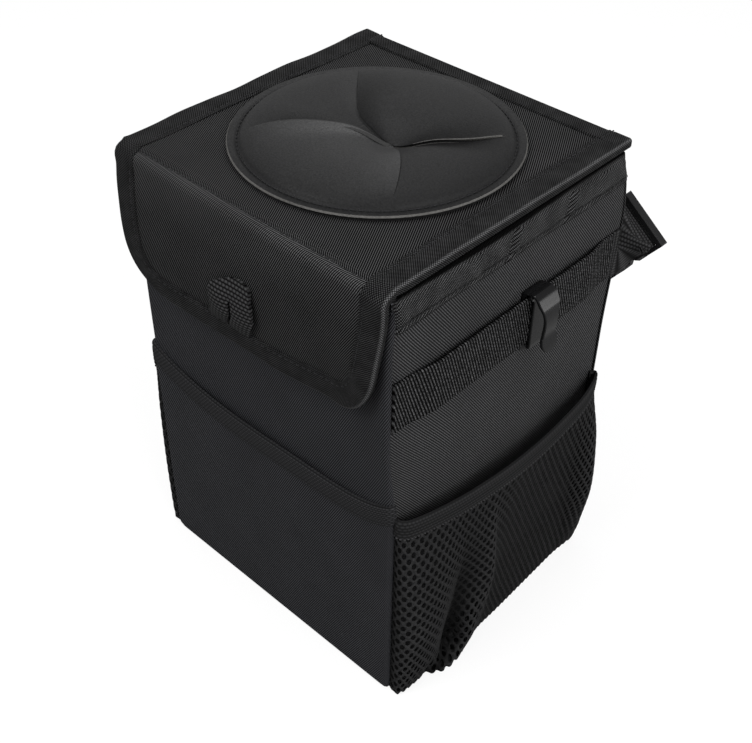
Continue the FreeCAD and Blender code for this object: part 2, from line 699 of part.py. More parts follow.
def long_strap():
    # From the plug in a slack loop behind the box, turning on edge at the bottom, to the back left corner
    level = strap_level + webbing / 2
    a = math.radians(buckle_tilt)
    lean = V(math.cos(a), 0, -math.sin(a))
    flat = V(0, -1, 0)
    first = buckle_point(0, socket_length + 8.5, level)
    clear = buckle_point(0, socket_length + 50, level)
    straight = buckle_point(0, socket_length + 53, level)
    left = -(hx + webbing / 2)

    def at(across, up, out=0):
        # shares of the way from the lowest point to the corner, across and up
        x = strap_low_x + (left - strap_low_x) * across
        return V(x, hy + strap_behind + out, strap_low + strap_sag * up)

    keys = [(straight, lean), (at(-0.357, 0.18, 3), lean * 0.55 + flat * 0.55), (at(-0.198, 0.042), flat),
            (at(0, 0), flat), (at(0.197, 0.048), flat), (at(0.407, 0.215), flat),
            (at(0.604, 0.453), flat * 0.8 + V(-0.5, 0, -0.3)),
            (at(0.787, 0.692, 1), flat * 0.35 + V(-0.75, 0, -0.6)),
            (at(0.932, 0.883, -1), V(-0.35, -0.1, -0.9)),
            (V(left, hy + 6.5, webbing_middle - 1.5), V(0, 0, -1)),
            (V(left, hy + 0.7, webbing_middle), V(0, 0, -1))]
    points = smooth([k[0] for k in keys], 4)
    turns = smooth([k[1] for k in keys], 4)
    end = V(left, hy - skin, webbing_middle)
    return ribbon([first, clear] + points + [end], [lean, lean] + turns + [V(0, 0, -1)], strap_width, webbing)


walls()
rim()
lid()
petal_disc()
flap()
save(pull_tab(), "pull_tab")
front_pocket()
pocket, hem = mesh_pocket()
save(pocket, "right_mesh_pocket")
save(mirrored(pocket), "left_mesh_pocket")
save(hem, "right_pocket_hem")
save(mirrored(hem), "left_pocket_hem")
side = side_webbing()
save(side, "right_webbing")
save(mirrored(side), "left_webbing")
save(clip(), "right_clip")
save(mirrored(clip()), "left_clip")
save(buckle_place(socket()), "buckle_socket")
save(buckle_place(plug()), "buckle_plug")
save(short_strap(), "short_strap")
save(long_strap(), "long_strap")
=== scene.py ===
# %% [markdown]
# This lesson dresses a car bin: a soft box of black padded cloth with a lid, a front flap, net pockets
# and webbing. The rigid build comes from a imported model, the frame, and every cloth piece takes its place
# from that frame. Lengths are written in millimetres, because sewing is, and turned into metres when a mesh
# is made.

# %% Load the frame
import json
import math

import bmesh
import bpy
import numpy as np
from mathutils import Matrix, Vector


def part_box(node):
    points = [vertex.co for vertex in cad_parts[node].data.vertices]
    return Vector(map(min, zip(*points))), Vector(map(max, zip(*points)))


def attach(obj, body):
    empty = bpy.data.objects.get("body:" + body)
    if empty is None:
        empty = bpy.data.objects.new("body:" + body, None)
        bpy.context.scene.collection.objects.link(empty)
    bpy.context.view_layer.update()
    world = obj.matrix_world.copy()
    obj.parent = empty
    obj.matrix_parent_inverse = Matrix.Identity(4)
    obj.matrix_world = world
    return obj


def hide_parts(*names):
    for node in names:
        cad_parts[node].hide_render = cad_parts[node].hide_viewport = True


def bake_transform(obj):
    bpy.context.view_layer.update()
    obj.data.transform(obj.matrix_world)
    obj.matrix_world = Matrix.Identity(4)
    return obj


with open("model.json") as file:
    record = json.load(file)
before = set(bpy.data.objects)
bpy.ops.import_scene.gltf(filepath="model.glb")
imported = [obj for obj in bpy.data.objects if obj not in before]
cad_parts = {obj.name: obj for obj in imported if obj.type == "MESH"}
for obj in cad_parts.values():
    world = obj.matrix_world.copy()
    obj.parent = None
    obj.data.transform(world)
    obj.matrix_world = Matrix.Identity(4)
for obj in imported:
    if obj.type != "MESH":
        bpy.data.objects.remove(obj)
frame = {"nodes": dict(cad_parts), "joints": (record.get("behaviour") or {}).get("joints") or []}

MM = 0.001
UP = np.array([0, 0, 1.0])
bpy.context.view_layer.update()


def span(node):
    low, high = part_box(node)
    return np.array(low) / MM, np.array(high) / MM


front_low, front_high = span("front_panel")
half_width, rim_z = front_high[0], front_high[2]
front_y, back_y = front_low[1], span("back_panel")[1][1]
seam_y = span("right_panel")[1][1]
print("box", 2 * half_width, "by", back_y - front_y, "by", rim_z, "mm")

# %% [markdown]
# Cloth is a thin slab: one face is a grid of points and the other lies a thickness behind it. A grid keeps
# the weave regular, because each point also stores where it lies on the flat cloth, in millimetres.
# Subdivided boxes would also do, but then a crease can't be placed to the millimetre.


# %% Grids, slabs and pieces
def as_grid(x, y, z):
    """A grid of points from three fields, each of them a number, a row, a column or a whole grid."""
    return np.stack(np.broadcast_arrays(x, y, z), -1).astype(float)


def grid_normals(grid, around=False):
    if around:
        along = np.roll(grid, -1, 0) - np.roll(grid, 1, 0)
    else:
        along = np.gradient(grid, axis=0)
    normal = np.cross(along, np.gradient(grid, axis=1))
    return normal / np.maximum(np.linalg.norm(normal, axis=2, keepdims=True), 1e-9)


def slab(outer, thick, gone=None, around=False):
    """Points and faces of a cloth whose outer side is the grid; cells marked gone are left out."""
    ni, nj = outer.shape[:2]
    inner = outer - grid_normals(outer, around) * thick
    points = np.concatenate([outer.reshape(-1, 3), inner.reshape(-1, 3)])
    shift = ni * nj
    faces, rim = [], {}
    for i in range(ni if around else ni - 1):
        k = (i + 1) % ni
        for j in range(nj - 1):
            if gone is not None and gone[i, j]:
                continue
            ring = (i * nj + j, k * nj + j, k * nj + j + 1, i * nj + j + 1)
            faces.append(ring)
            faces.append(tuple(shift + c for c in reversed(ring)))
            for a, b in zip(ring, ring[1:] + ring[:1]):
                if (b, a) in rim:
                    del rim[(b, a)]
                else:
                    rim[(a, b)] = True
    faces += [(b, a, shift + a, shift + b) for a, b in rim]
    return points, faces


def run_lengths(path):
    """How far along the path each of its points lies."""
    return np.r_[0, np.cumsum(np.linalg.norm(np.diff(path, axis=0), axis=1))]


def flat_lengths(grid):
    """Where each grid point lies on the flat cloth, measured along the middle row and column."""
    u = run_lengths(grid[:, grid.shape[1] // 2])
    v = run_lengths(grid[grid.shape[0] // 2])
    return as_grid(u[:, None], v, 0).reshape(-1, 3)


def cut_size(grid):
    """The flat size of a cloth in metres, from its middle lines."""
    return tuple(float(c) * MM for c in flat_lengths(grid).max(0)[:2])

# %% [markdown]
# Each slab becomes one object: it rides with a body, stands in for the plain solids it covers, and gets its
# finish. Two soft curves, a step and a bell, serve everything that swells or fades.


# %% Pieces
def piece(name, points, faces, finish, body=None, weave=None, sharp=45, stands_for=()):
    mesh = bpy.data.meshes.new(name)
    mesh.from_pydata((np.asarray(points) * MM).tolist(), [], [tuple(int(c) for c in f) for f in faces])
    shell = bmesh.new()
    shell.from_mesh(mesh)
    if shell.calc_volume(signed=True) < 0:
        mesh.flip_normals()
    shell.free()
    if weave is not None:
        weave = np.asarray(weave, np.float32)
        if len(weave) * 2 == len(mesh.vertices):
            weave = np.concatenate([weave, weave])
        mesh.attributes.new("weave", "FLOAT_VECTOR", "POINT").data.foreach_set("vector", weave.ravel())
    mesh.shade_smooth()
    mesh.set_sharp_from_angle(angle=math.radians(sharp))
    mesh.materials.append(finish.material)
    made = bpy.data.objects.new(name, mesh)
    bpy.context.collection.objects.link(made)
    if body:
        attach(made, body)
    if stands_for:
        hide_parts(*stands_for)
    print(name, len(mesh.polygons), "faces")
    return made


def cloth(name, grid, thick, finish, body=None, stands_for=(), weave=None, gone=None, around=False):
    points, faces = slab(grid, thick, gone, around)
    if weave is None:
        weave = flat_lengths(grid)
    return piece(name, points, faces, finish, body, weave, stands_for=stands_for)


def store_shade(made, shade):
    """How much painted light or shade the finish gets at each point; the finishes read it."""
    made.data.attributes.new("shade", "FLOAT", "POINT").data.foreach_set("value", np.ravel(shade))


def mirrored(points, faces, sign):
    """The points and faces of a piece as they are (sign 1), or mirrored for the left side (sign -1)."""
    turned = faces if sign > 0 else [tuple(reversed(f)) for f in faces]
    return points * np.array([sign, 1, 1]), turned


def smooth_step(x):
    x = np.clip(x, 0, 1)
    return x * x * (3 - 2 * x)


def bell(x, width):
    return np.exp(-(x / width) ** 2)


# %% [markdown]
# Tapes, webbing and stitches are all a small section carried along a line. At each point of the line there
# are two directions: one lies in the cloth and one stands off it. The section is written in those two,
# so one function makes a folded tape, a flat strap and a moulded clip.


# %% Sweeps
def unit(v):
    return v / np.maximum(np.linalg.norm(v, axis=-1, keepdims=True), 1e-9)


def sweep(path, side, off, section, closed=False):
    """section is (m, 2) or one such list for each point; gives points, faces and flat lengths."""
    path, section = np.asarray(path, float), np.asarray(section, float)
    n, m = len(path), section.shape[-2]
    section = np.broadcast_to(section, (n, m, 2))
    side, off = np.broadcast_to(side, path.shape), np.broadcast_to(off, path.shape)
    rings = path[:, None] + side[:, None] * section[:, :, :1] + off[:, None] * section[:, :, 1:]
    faces = []
    for i in range(n if closed else n - 1):
        a, b = i * m, (i + 1) % n * m
        faces += [(a + k, b + k, b + (k + 1) % m, a + (k + 1) % m) for k in range(m)]
    if not closed:
        faces += [tuple(range(m)), tuple(range(n * m - 1, (n - 1) * m - 1, -1))]
    weave = as_grid(section[:, :, 0], run_lengths(path)[:, None], 0)
    return rings.reshape(-1, 3), faces, weave.reshape(-1, 3)


def tangents(path, closed=False):
    if closed:
        return unit(np.roll(path, -1, 0) - np.roll(path, 1, 0))
    return unit(np.gradient(path, axis=0))


def between(p0, p1, p2, p3, t):
    """The place at the share t from p1 to p2, on a soft line through all four."""
    return 0.5 * (2 * p1 + (p2 - p0) * t + (2 * p0 - 5 * p1 + 4 * p2 - p3) * t ** 2
                  + (3 * p1 - p0 - 3 * p2 + p3) * t ** 3)


def spline(keys, steps):
    """A soft line through the keys, which may have any number of columns."""
    keys = np.asarray(keys, float)
    ends = np.concatenate([keys[:1] * 2 - keys[1:2], keys, keys[-1:] * 2 - keys[-2:-1]])
    line = [between(*ends[i - 1:i + 3], s / steps) for i in range(1, len(ends) - 2) for s in range(steps)]
    return np.array(line + [keys[-1]])


def evenly(path, step):
    """The path again, in steps of one length; columns past the third are carried along."""
    path = np.asarray(path, float)
    run = run_lengths(path[:, :3])
    at = np.linspace(0, run[-1], max(2, int(round(run[-1] / step)) + 1))
    return np.stack([np.interp(at, run, column) for column in path.T], 1)


def rounded_ring(half_x, half_y, r, steps, first=0):
    """A level rectangle with round corners, from the corner whose arc starts at first degrees, and closed."""
    ring = []
    for start in range(first, first + 360, 90):
        middle = math.radians(start + 45)
        cx = math.copysign(half_x - r, math.cos(middle))
        cy = math.copysign(half_y - r, math.sin(middle))
        for a in np.radians(np.linspace(start, start + 90, steps)):
            ring.append((cx + r * math.cos(a), cy + r * math.sin(a)))
    return np.array(ring + ring[:1])

# %% [markdown]
# Two things come back on many pieces: webbing, with its rounded selvedges, and rows of stitches, which are
# short rounded lengths of thread that lie half in the cloth.


# %% Webbing and stitches
def strap(name, path, width_way, width, thick, finish, body, stands_for=()):
    """Webbing with rounded selvedges; width_way is the direction of its width at each point."""
    along = tangents(path)
    side = unit(width_way - along * np.sum(width_way * along, 1, keepdims=True))
    w, t = width / 2, thick / 2
    e = min(t, 0.6)
    flat = np.linspace(-w + e, w - e, 9)
    section = [(x, t) for x in flat] + [(w - 0.3 * e, 0.7 * t), (w, 0), (w - 0.3 * e, -0.7 * t)]
    section += [(x, -t) for x in flat[::-1]] + [(-w + 0.3 * e, -0.7 * t), (-w, 0), (-w + 0.3 * e, 0.7 * t)]
    points, faces, weave = sweep(path, side, np.cross(along, side), section[::-1])
    return piece(name, points, faces, finish, body, weave, sharp=50, stands_for=stands_for)


def stitches(name, path, off, finish, body, length=2.4, pitch=3.6, radius=0.34):
    """Thread laid along a line: short capsules that lie half in the cloth."""
    path = evenly(np.c_[path, np.broadcast_to(off, path.shape)], pitch)
    line, up = path[:, :3], unit(path[:, 3:])
    turn = np.arange(6) * math.pi / 3
    ends = ((-0.5, 0.15), (-0.42, 0.75), (-0.2, 1.0), (0.2, 1.0), (0.42, 0.75), (0.5, 0.15))
    points, faces = [], []
    for p, t, n in zip(line, tangents(line), up):
        s = np.cross(t, n)
        first = len(points)
        for share, fat in ends:
            middle = p + t * share * length + n * 0.12 * (fat - 0.5)
            points += [middle + (s * math.cos(a) + n * math.sin(a)) * radius * fat for a in turn]
        for k in range(len(ends) - 1):
            a, b = first + 6 * k, first + 6 * k + 6
            faces += [(a + c, a + (c + 1) % 6, b + (c + 1) % 6, b + c) for c in range(6)]
        faces += [tuple(first + c for c in range(5, -1, -1)), tuple(first + 30 + c for c in range(6))]
    return piece(name, points, faces, finish, body, sharp=70)


# %% [markdown]
# Every finish is made from nodes. The cloth ones read the flat lengths stored on each point, so a weave of
# a millimetre is that size on every piece and bends with the cloth. A thread stands up a
# little and catches light on top, so each weave gives both a bump and a change of colour.


# %% A helper that writes material nodes
def add_node(tree, kind, links=None, **settings):
    made = tree.nodes.new(kind)
    for key, value in settings.items():
        setattr(made, key, value)
    for socket, value in (links or {}).items():
        if isinstance(value, bpy.types.NodeSocket):
            tree.links.new(value, made.inputs[socket])
        else:
            made.inputs[socket].default_value = value
    return made


class Finish:
    def __init__(self, name, slot, roughness, specular=0.5):
        self.slot = slot
        self.material = bpy.data.materials.new(name)
        self.material.use_nodes = True
        self.tree = self.material.node_tree
        self.surface = self.tree.nodes["Principled BSDF"]
        self.surface.inputs["Roughness"].default_value = roughness
        self.surface.inputs["Specular IOR Level"].default_value = specular

    def node(self, kind, links=None, **settings):
        return add_node(self.tree, kind, links, **settings)

    def math(self, operation, a, b=0.0):
        return self.node("ShaderNodeMath", {0: a, 1: b}, operation=operation).outputs[0]

    def times(self, a, b):
        return self.math("MULTIPLY", a, b)

    def plus(self, a, b):
        return self.math("ADD", a, b)

    def ridges(self, x):
        """Rounded ridges with a groove at each whole number: a sine without its sign."""
        return self.math("ABSOLUTE", self.math("SINE", self.times(x, math.pi)))

    def fading(self, x):
        """One where x is nought, falling to nought at one and staying there."""
        return self.math("MAXIMUM", self.math("SUBTRACT", 1.0, x), 0.0)

    def lengths(self):
        flat = self.node("ShaderNodeAttribute", attribute_name="weave").outputs["Vector"]
        parts = self.node("ShaderNodeSeparateXYZ", {0: flat}).outputs
        return flat, parts[0], parts[1]

    def shade(self):
        return self.node("ShaderNodeAttribute", attribute_name="shade").outputs["Fac"]

    def position(self):
        return self.node("ShaderNodeTexCoord").outputs["Object"]

    def noise(self, vector, scale, detail=2.0):
        links = {"Vector": vector, "Scale": scale, "Detail": detail}
        return self.node("ShaderNodeTexNoise", links).outputs[0]

    def colour(self, share, dark, light):
        links = {0: share, 6: (*dark, 1), 7: (*light, 1)}
        mixed = self.node("ShaderNodeMix", links, data_type="RGBA", clamp_factor=False)
        self.tree.links.new(mixed.outputs[2], self.surface.inputs["Base Color"])

    def tint(self, share, base, contrast, lift):
        """Colours on both sides of base, spread by contrast; lift is how far the light one goes."""
        self.colour(share, [b * (1 - contrast) for b in base], [b * (1 + contrast * lift) for b in base])

    def rough(self, share, low, high):
        mixed = self.node("ShaderNodeMapRange", {0: share, 3: low, 4: high}).outputs[0]
        self.tree.links.new(mixed, self.surface.inputs["Roughness"])

    def bump(self, height, depth):
        links = {"Height": height, "Distance": depth * MM, "Strength": 1.0}
        made = self.node("ShaderNodeBump", links).outputs[0]
        self.tree.links.new(made, self.surface.inputs["Normal"])


# %% [markdown]
# The box is cut from a filament twill: fine diagonal ridges about a millimetre apart, dull with a slight
# sheen. Ridges are a sine across the diagonal, and a slower wave along each ridge breaks it into floats of
# thread.


# %% Twill cloth, in several directions
def twill(name, angle, pitch, base, contrast=0.97, broken=0.25, length=2.3, turned_at=None, shaded=False):
    """Ridges stand at angle from the u direction; past turned_at, a length along v, they lean back, and just
    past it the colour is lifted as a painted highlight.
    """
    f = Finish(name, "oxford_cloth", 0.6, specular=0.03)
    flat, u, v = f.lengths()
    if turned_at:
        v = f.math("SUBTRACT", v, turned_at)
        past = f.math("DIVIDE", v, 26.0)
        fold_highlight = f.times(f.fading(past), f.math("GREATER_THAN", past, 0.0))
        v = f.math("ABSOLUTE", v)
    c, s = math.cos(math.radians(angle)) / pitch, math.sin(math.radians(angle)) / pitch
    across = f.plus(f.times(u, c), f.times(v, s))
    along = f.plus(f.times(u, -s / length), f.times(v, c / length))
    ridge = f.ridges(across)
    floats = f.ridges(f.plus(along, f.times(f.math("FLOOR", across), 0.37)))
    crown = f.times(f.math("POWER", ridge, 6.0), f.plus(f.times(floats, broken), 1 - broken))
    worn = f.noise(flat, 0.035)
    share = f.times(crown, f.plus(f.times(worn, 0.5), 0.75))
    if turned_at:  # painted highlight: the cloth just past the fold is made lighter, standing in for its sheen
        share = f.times(share, f.plus(f.times(fold_highlight, 0.6), 1.0))
    if shaded:  # painted shade inside a pocket, as each point says
        share = f.times(share, f.shade())
    mean = 0.3125 * (1 - 0.36 * broken)  # a sine to the sixth averages 0.3125, and one without its sign 0.64
    f.tint(share, base, contrast, 1 / mean - 1)
    f.bump(ridge, 0.1)
    return f


front_twill = twill("front twill", -28, 0.93, (0.0245, 0.0248, 0.0272), contrast=0.68)
# painted light: the side panels are the same twill as the back, given a lighter colour because more light
# falls on them
lit_side_twill = twill("side twill", 36, 0.99, (0.0335, 0.0335, 0.0344), contrast=0.66, shaded=True)
lid_twill = twill("lid twill", 29, 0.9, (0.021, 0.021, 0.0214), contrast=1.0, broken=0.45, length=1.3,
                  turned_at=155.0)
back_twill = twill("back twill", 36, 0.99, (0.0215, 0.0215, 0.0221))

# %% [markdown]
# Binding tape is a narrow plain weave: two crossing sets of fine diagonals give its hatched face. Elastic
# and webbing are thicker, with rows of beads that are the loops of their threads.


# %% Tape, elastic and webbing
def tape_finish(name, base, pitch=1.2, depth=0.12, contrast=0.97, fold=None, shaded=False, skew=(1.0, -1.0)):
    """Two sets of lines cross; skew says how far each leans, so (1, -1) is a diamond lattice."""
    f = Finish(name, "binding", 0.65, specular=0.03)
    flat, u, v = f.lengths()
    one, two = (f.math("SINE", f.times(f.plus(u, f.times(v, s)), math.pi / pitch)) for s in skew)
    height = f.math("ABSOLUTE", f.times(one, two))
    share = f.times(f.math("POWER", height, 2.0), f.plus(f.times(f.noise(flat, 0.12), 1.6), 0.3))
    if fold:  # painted highlight: threads along the outer fold are made lighter, standing in for their shine
        near = f.fading(f.math("DIVIDE", f.math("ABSOLUTE", f.math("SUBTRACT", u, fold)), 1.2))
        share = f.plus(share, f.times(f.times(near, height), 2.0))
    if shaded:  # painted shade: darker in the folds and seams and under the lid, as each point says
        share = f.times(share, f.shade())
    f.tint(share, base, contrast, 3.2)
    f.bump(height, depth)
    return f


def ribbed_finish(name, slot, base, across, along, depth, contrast, slant=0.0, sharp=1.6, uneven=1.0,
                  fuzz_scale=1.6):
    """Rows of beads: across is the width of a bead and along the pitch of the rows, which may slant."""
    f = Finish(name, slot, 0.65, specular=0.03)
    flat, u, v = f.lengths()
    row = f.plus(f.math("DIVIDE", v, along), f.times(u, slant))
    ribs = f.ridges(row)
    fuzz = f.noise(flat, fuzz_scale, 3.0)
    step = f.plus(f.math("DIVIDE", u, across), f.times(f.math("FLOOR", row), 0.5))
    if uneven > 1:  # the beads are uneven in length too
        step = f.plus(step, f.times(fuzz, uneven))
    beads = f.ridges(step)
    crown = f.times(f.math("POWER", ribs, sharp), f.plus(f.times(beads, 0.85), 0.15))
    share = f.times(crown, f.plus(f.times(fuzz, uneven), 1 - 0.5 * uneven))
    mean = 0.69 * (0.37 if sharp > 3 else 0.5)  # of the beads, times that of the ribs
    f.tint(share, base, contrast, 1 / mean - 1)
    f.bump(f.times(ribs, beads), depth)
    return f


edge_tape_finish = tape_finish("edge tape", (0.0135, 0.0135, 0.0138), fold=13.2)
hinge_finish = tape_finish("hinge tape", (0.0135, 0.0135, 0.0138))
rim_tape_finish = tape_finish("rim tape", (0.0285, 0.0285, 0.029), pitch=1.4, depth=0.25, contrast=1.0,
                              shaded=True, skew=(0.62, -1.9))
front_elastic = ribbed_finish("front elastic", "binding", (0.0195, 0.0195, 0.0205), 1.9, 1.2, 0.1, 0.6)
net_elastic = ribbed_finish("net elastic", "binding", (0.0155, 0.0155, 0.016), 1.9, 1.9, 0.08, 0.45)
webbing_finish = ribbed_finish("webbing", "webbing", (0.0235, 0.0235, 0.024), 2.3, 1.565, 0.25, 1.0,
                               slant=0.218, sharp=4.0, uneven=3.0, fuzz_scale=0.9)
tab_finish = ribbed_finish("tab webbing", "webbing", (0.0225, 0.0225, 0.023), 2.1, 1.9, 0.25, 0.95)
strap_finish = ribbed_finish("strap webbing", "webbing", (0.0215, 0.0215, 0.022), 1.5, 2.1, 0.2, 0.7)

# %% [markdown]
# The rest are plainer: foam rubber with a fine grain and a pale cut edge, glossy moulded plastic, knitted
# yarn for the net, coated cloth for the inside, grey board and the two faces of a touch fastener.
# One function covers them: a fine grain over broad patches.


# %% Grained finishes
def grained(name, slot, dark, light, scale, depth, roughness, specular=0.5, nap=False):
    f = Finish(name, slot, roughness, specular=specular)
    place = f.position()
    grain = f.noise(place, scale, 3.0)
    broad = f.noise(place, 22.0)
    share = f.plus(f.times(grain, 0.55), f.times(broad, 0.45))
    if nap:  # painted light: colour and shine go up and down as each point says
        painted_factor = f.shade()
        share = f.times(share, painted_factor)
        shine = f.plus(f.times(grain, 1.6 * specular), 0.3 * specular)
        f.tree.links.new(f.times(painted_factor, shine), f.surface.inputs["Specular IOR Level"])
    f.colour(share, dark, light)
    f.rough(broad, roughness - 0.08, roughness + 0.08)
    f.bump(grain, depth)
    return f


rubber = grained("foam rubber", "neoprene", (0.003, 0.003, 0.0032), (0.0235, 0.0235, 0.024), 1400, 0.14, 0.5,
                 specular=0.25, nap=True)
edge_and_highlight_rubber = grained("rubber edge", "neoprene", (0.012, 0.012, 0.012), (0.05, 0.05, 0.05), 1100, 0.2, 0.7,
                      specular=0.1)
pale_cut_and_highlight_rubber = grained("cut rubber edge", "neoprene", (0.0, 0.0, 0.0), (0.16, 0.156, 0.15), 1100, 0.3, 0.8,
                     specular=0.05)
gloss_plastic = grained("gloss plastic", "plastic", (0.007, 0.007, 0.0075), (0.0095, 0.0095, 0.01), 260,
                        0.015, 0.26, specular=0.34)
clip_plastic = grained("clip plastic", "plastic", (0.006, 0.006, 0.0064), (0.008, 0.008, 0.0085), 260, 0.015,
                       0.24, specular=0.22)
thread = grained("thread", "binding", (0.008, 0.008, 0.009), (0.02, 0.02, 0.021), 2600, 0.08, 0.5,
                 specular=0.15)
loop_thread = grained("loop thread", "mesh", (0.01, 0.01, 0.01), (0.07, 0.07, 0.072), 700, 0.08, 0.6,
                      specular=0.1)
shaded_yarn = grained("folded net", "mesh", (0.002, 0.002, 0.002), (0.005, 0.005, 0.005), 900, 0.1, 0.9,
                      specular=0.02)
coated = grained("coated lining", "lining", (0.035, 0.035, 0.037), (0.055, 0.055, 0.058), 90, 0.12, 0.38)
board_grey = grained("stiffening board", "stiffener", (0.25, 0.23, 0.2), (0.38, 0.35, 0.31), 500, 0.08, 0.85)
pile = grained("touch fastener", "touch_fastener", (0.008, 0.008, 0.009), (0.04, 0.04, 0.042), 1900, 0.7, 0.8,
               specular=0.1)
yarn = Finish("net yarn", "mesh", 0.7, specular=0.05)
fuzz = yarn.noise(yarn.position(), 900, 3.0)
# painted shade: the yarn's colour is darker in the net's dips and deep fold, as each point says
yarn.colour(yarn.times(fuzz, yarn.shade()), (0.0008, 0.0008, 0.0008), (0.034, 0.034, 0.0348))
yarn.bump(fuzz, 0.15)
print("finishes", len(bpy.data.materials))

# %% [markdown]
# The walls are sewn panels. The front and back panels wrap the upright corners, and the side panels sit
# between, so the seam shows on the side face as a groove with a bright folded edge in front of it.
# Each panel is one grid: its level outline is drawn once and carried up, and small offsets press the seams
# in.

# %% Walls and base
wall_skin, corner = 2.0, 1.9
foot = 2.6  # height of the rounded lower edge
rear_swell, front_draw, corner_pull = 3.4, 3.2, 4.0
levels = np.r_[0, 0.5, 1.3, foot, np.linspace(6, rim_z - 1, 44), rim_z]


def soft_waves(a, b):
    return 0.5 * np.sin(a / 23 + 0.7) * np.sin(b / 31 + 1.9) + 0.25 * np.sin(a / 11 + b / 17)


def pulled_out(x, y, z):
    """How far the top of the right rear corner bulges back; right under the lid there is room for less."""
    room = 1 - 0.7 * smooth_step((z - 227) / 13.5)
    at_corner = smooth_step((x - 42) / 36) * smooth_step((y - 30) / 44)
    return corner_pull * at_corner * smooth_step((z - 140) / 80) * room


def wall(side, outline, inset, crown, finish):
    """outline is the level line with its outward direction, as columns x, y, nx, ny."""
    x0, y0, nx, ny = outline.T[:, :, None]
    inset, z = inset[:, None], levels
    under = 1.7 * np.maximum(0, 1 - z / foot) ** 2
    lean = 0.5 * smooth_step((z - rim_z + 12) / 7) + smooth_step((z - rim_z + 5.4) / 4.4)
    waves = 0.25 * soft_waves(x0 + y0, z) * (inset < 0.05)
    out = crown * np.sin(math.pi * z / rim_z) - under - inset - lean + waves
    x, y = x0 + nx * out, y0 + ny * out
    # the rear swells out between base and rim, and the right front edge has drawn in above the pocket
    swell = rear_swell * smooth_step((z - 4) / 30) * smooth_step((rim_z - 6 - z) / 30)
    drawn = smooth_step((z - 128) / 40) * smooth_step((rim_z + 8 - z) / 36)
    drawn = drawn * smooth_step((x - 60) / 20) * smooth_step((-y - 30) / 44)
    moved_y = y + swell * smooth_step((y - 30) / 44) - front_draw * drawn + pulled_out(x, y, z)
    grid = as_grid(x - 0.4 * drawn, moved_y, z)
    return cloth(side + "_wall", grid, wall_skin, finish, "bin", [side + "_panel"])


def round_front(half, y, start_y, r, straight, count):
    """Across the front and round both its corners: x, y and the outward direction."""
    turn = np.linspace(0, math.pi / 2, 7)
    c, s = np.cos(turn), np.sin(turn)
    left = np.concatenate([[(-half, start_y, -1, 0)], np.c_[-half + r * (1 - c), y + r * (1 - s), -c, -s]])
    x = np.linspace(-straight, straight, count)
    middle = np.c_[x, np.full(count, y), np.zeros(count), -np.ones(count)]
    return np.concatenate([left, middle, left[::-1] * [-1, 1, -1, 1]])

# %% [markdown]
# Four panels and a base are cut. The side ones are pressed in most at the front seam, where the front
# panel's edge stands proud, and the base is slightly hollow underneath.

# %% Sew the box
padded = []
for side, sign, crown, pressed, finish in (("front", 1, 0.15, 0.4, front_twill),
                                           ("back", -1, 0.9, 0.1, back_twill)):
    outline = sign * round_front(half_width, front_y, -seam_y + 0.1, corner, half_width - 6, 56)
    inset = np.zeros(len(outline))
    inset[[0, -1]] = pressed
    padded.append(wall(side, outline, inset, crown, finish))

side_run = np.r_[0, 0.4, 1, 2, 3.5, 5.5, 8, np.linspace(11, seam_y, 26)]
side_run = np.r_[side_run - seam_y, (seam_y - side_run[:-1])[::-1]]
ones = np.ones(len(side_run))
for side, sign in (("right", 1), ("left", -1)):
    at_seam = (1 - smooth_step((seam_y - np.abs(side_run)) / 7.5)) ** 1.5
    inset = 0.06 + at_seam * np.where(side_run * sign < 0, 1.3, 0.15)
    outline = sign * np.c_[half_width * ones, side_run, ones, 0 * ones]
    padded.append(wall(side, outline, inset, 0.12, lit_side_twill))

base_x = np.linspace(-half_width + 2, half_width - 2, 30)[:, None]
base_y = np.linspace(seam_y, -seam_y, 28)
base_z = 0.25 + 0.5 * (1 - (base_x / half_width) ** 2) * (1 - (base_y / seam_y) ** 2)
padded.append(cloth("base_cloth", as_grid(base_x, base_y, base_z), 1.7, back_twill, "bin", ["base_panel"]))

# %% [markdown]
# A bias tape is folded over the raw edge of all the layers, right round the rim. It is stiff and a little
# too long, so it buckles: each side has a couple of slanting creases. The tape is a U-shaped section carried
# round, and the creases are ridges and dips added to its outer leg.

# %% Rim tape
rim_ring = rounded_ring(half_width, back_y, corner, 6, -90)
rim_line = evenly(np.c_[rim_ring, np.full(len(rim_ring), rim_z)], 1.6)[:-1]
outward = np.cross(tangents(rim_line, closed=True), UP)
sewn_down = 12.6  # from the rim to the stitches
rim_section = [(0.1, -15.2), (0.8, -15.4)]
rim_section += [(1 - 0.5 * smooth_step((b + 12) / 7) - smooth_step((b + 5.4) / 4), b)
                for b in np.linspace(-14.6, -1.6, 27)]
rim_section += [(-0.6, -1.0), (-0.8, 0.0), (-1.5, 0.45), (-3.6, 0.5), (-4.4, 0.2), (-4.6, -0.6),
                (-4.6, -10.5), (-4.2, -11), (-4.05, -0.9), (-2.9, -1.0)]
rim_section = np.array(rim_section)
off, low = rim_section.T
outer = off > -1.9
leg = outer & (low < -3) & (low > -15.3)
run = np.where(np.abs(rim_line[:, 0]) > half_width - 1, rim_line[:, 1], rim_line[:, 0] * 0.93 + 5)[:, None]
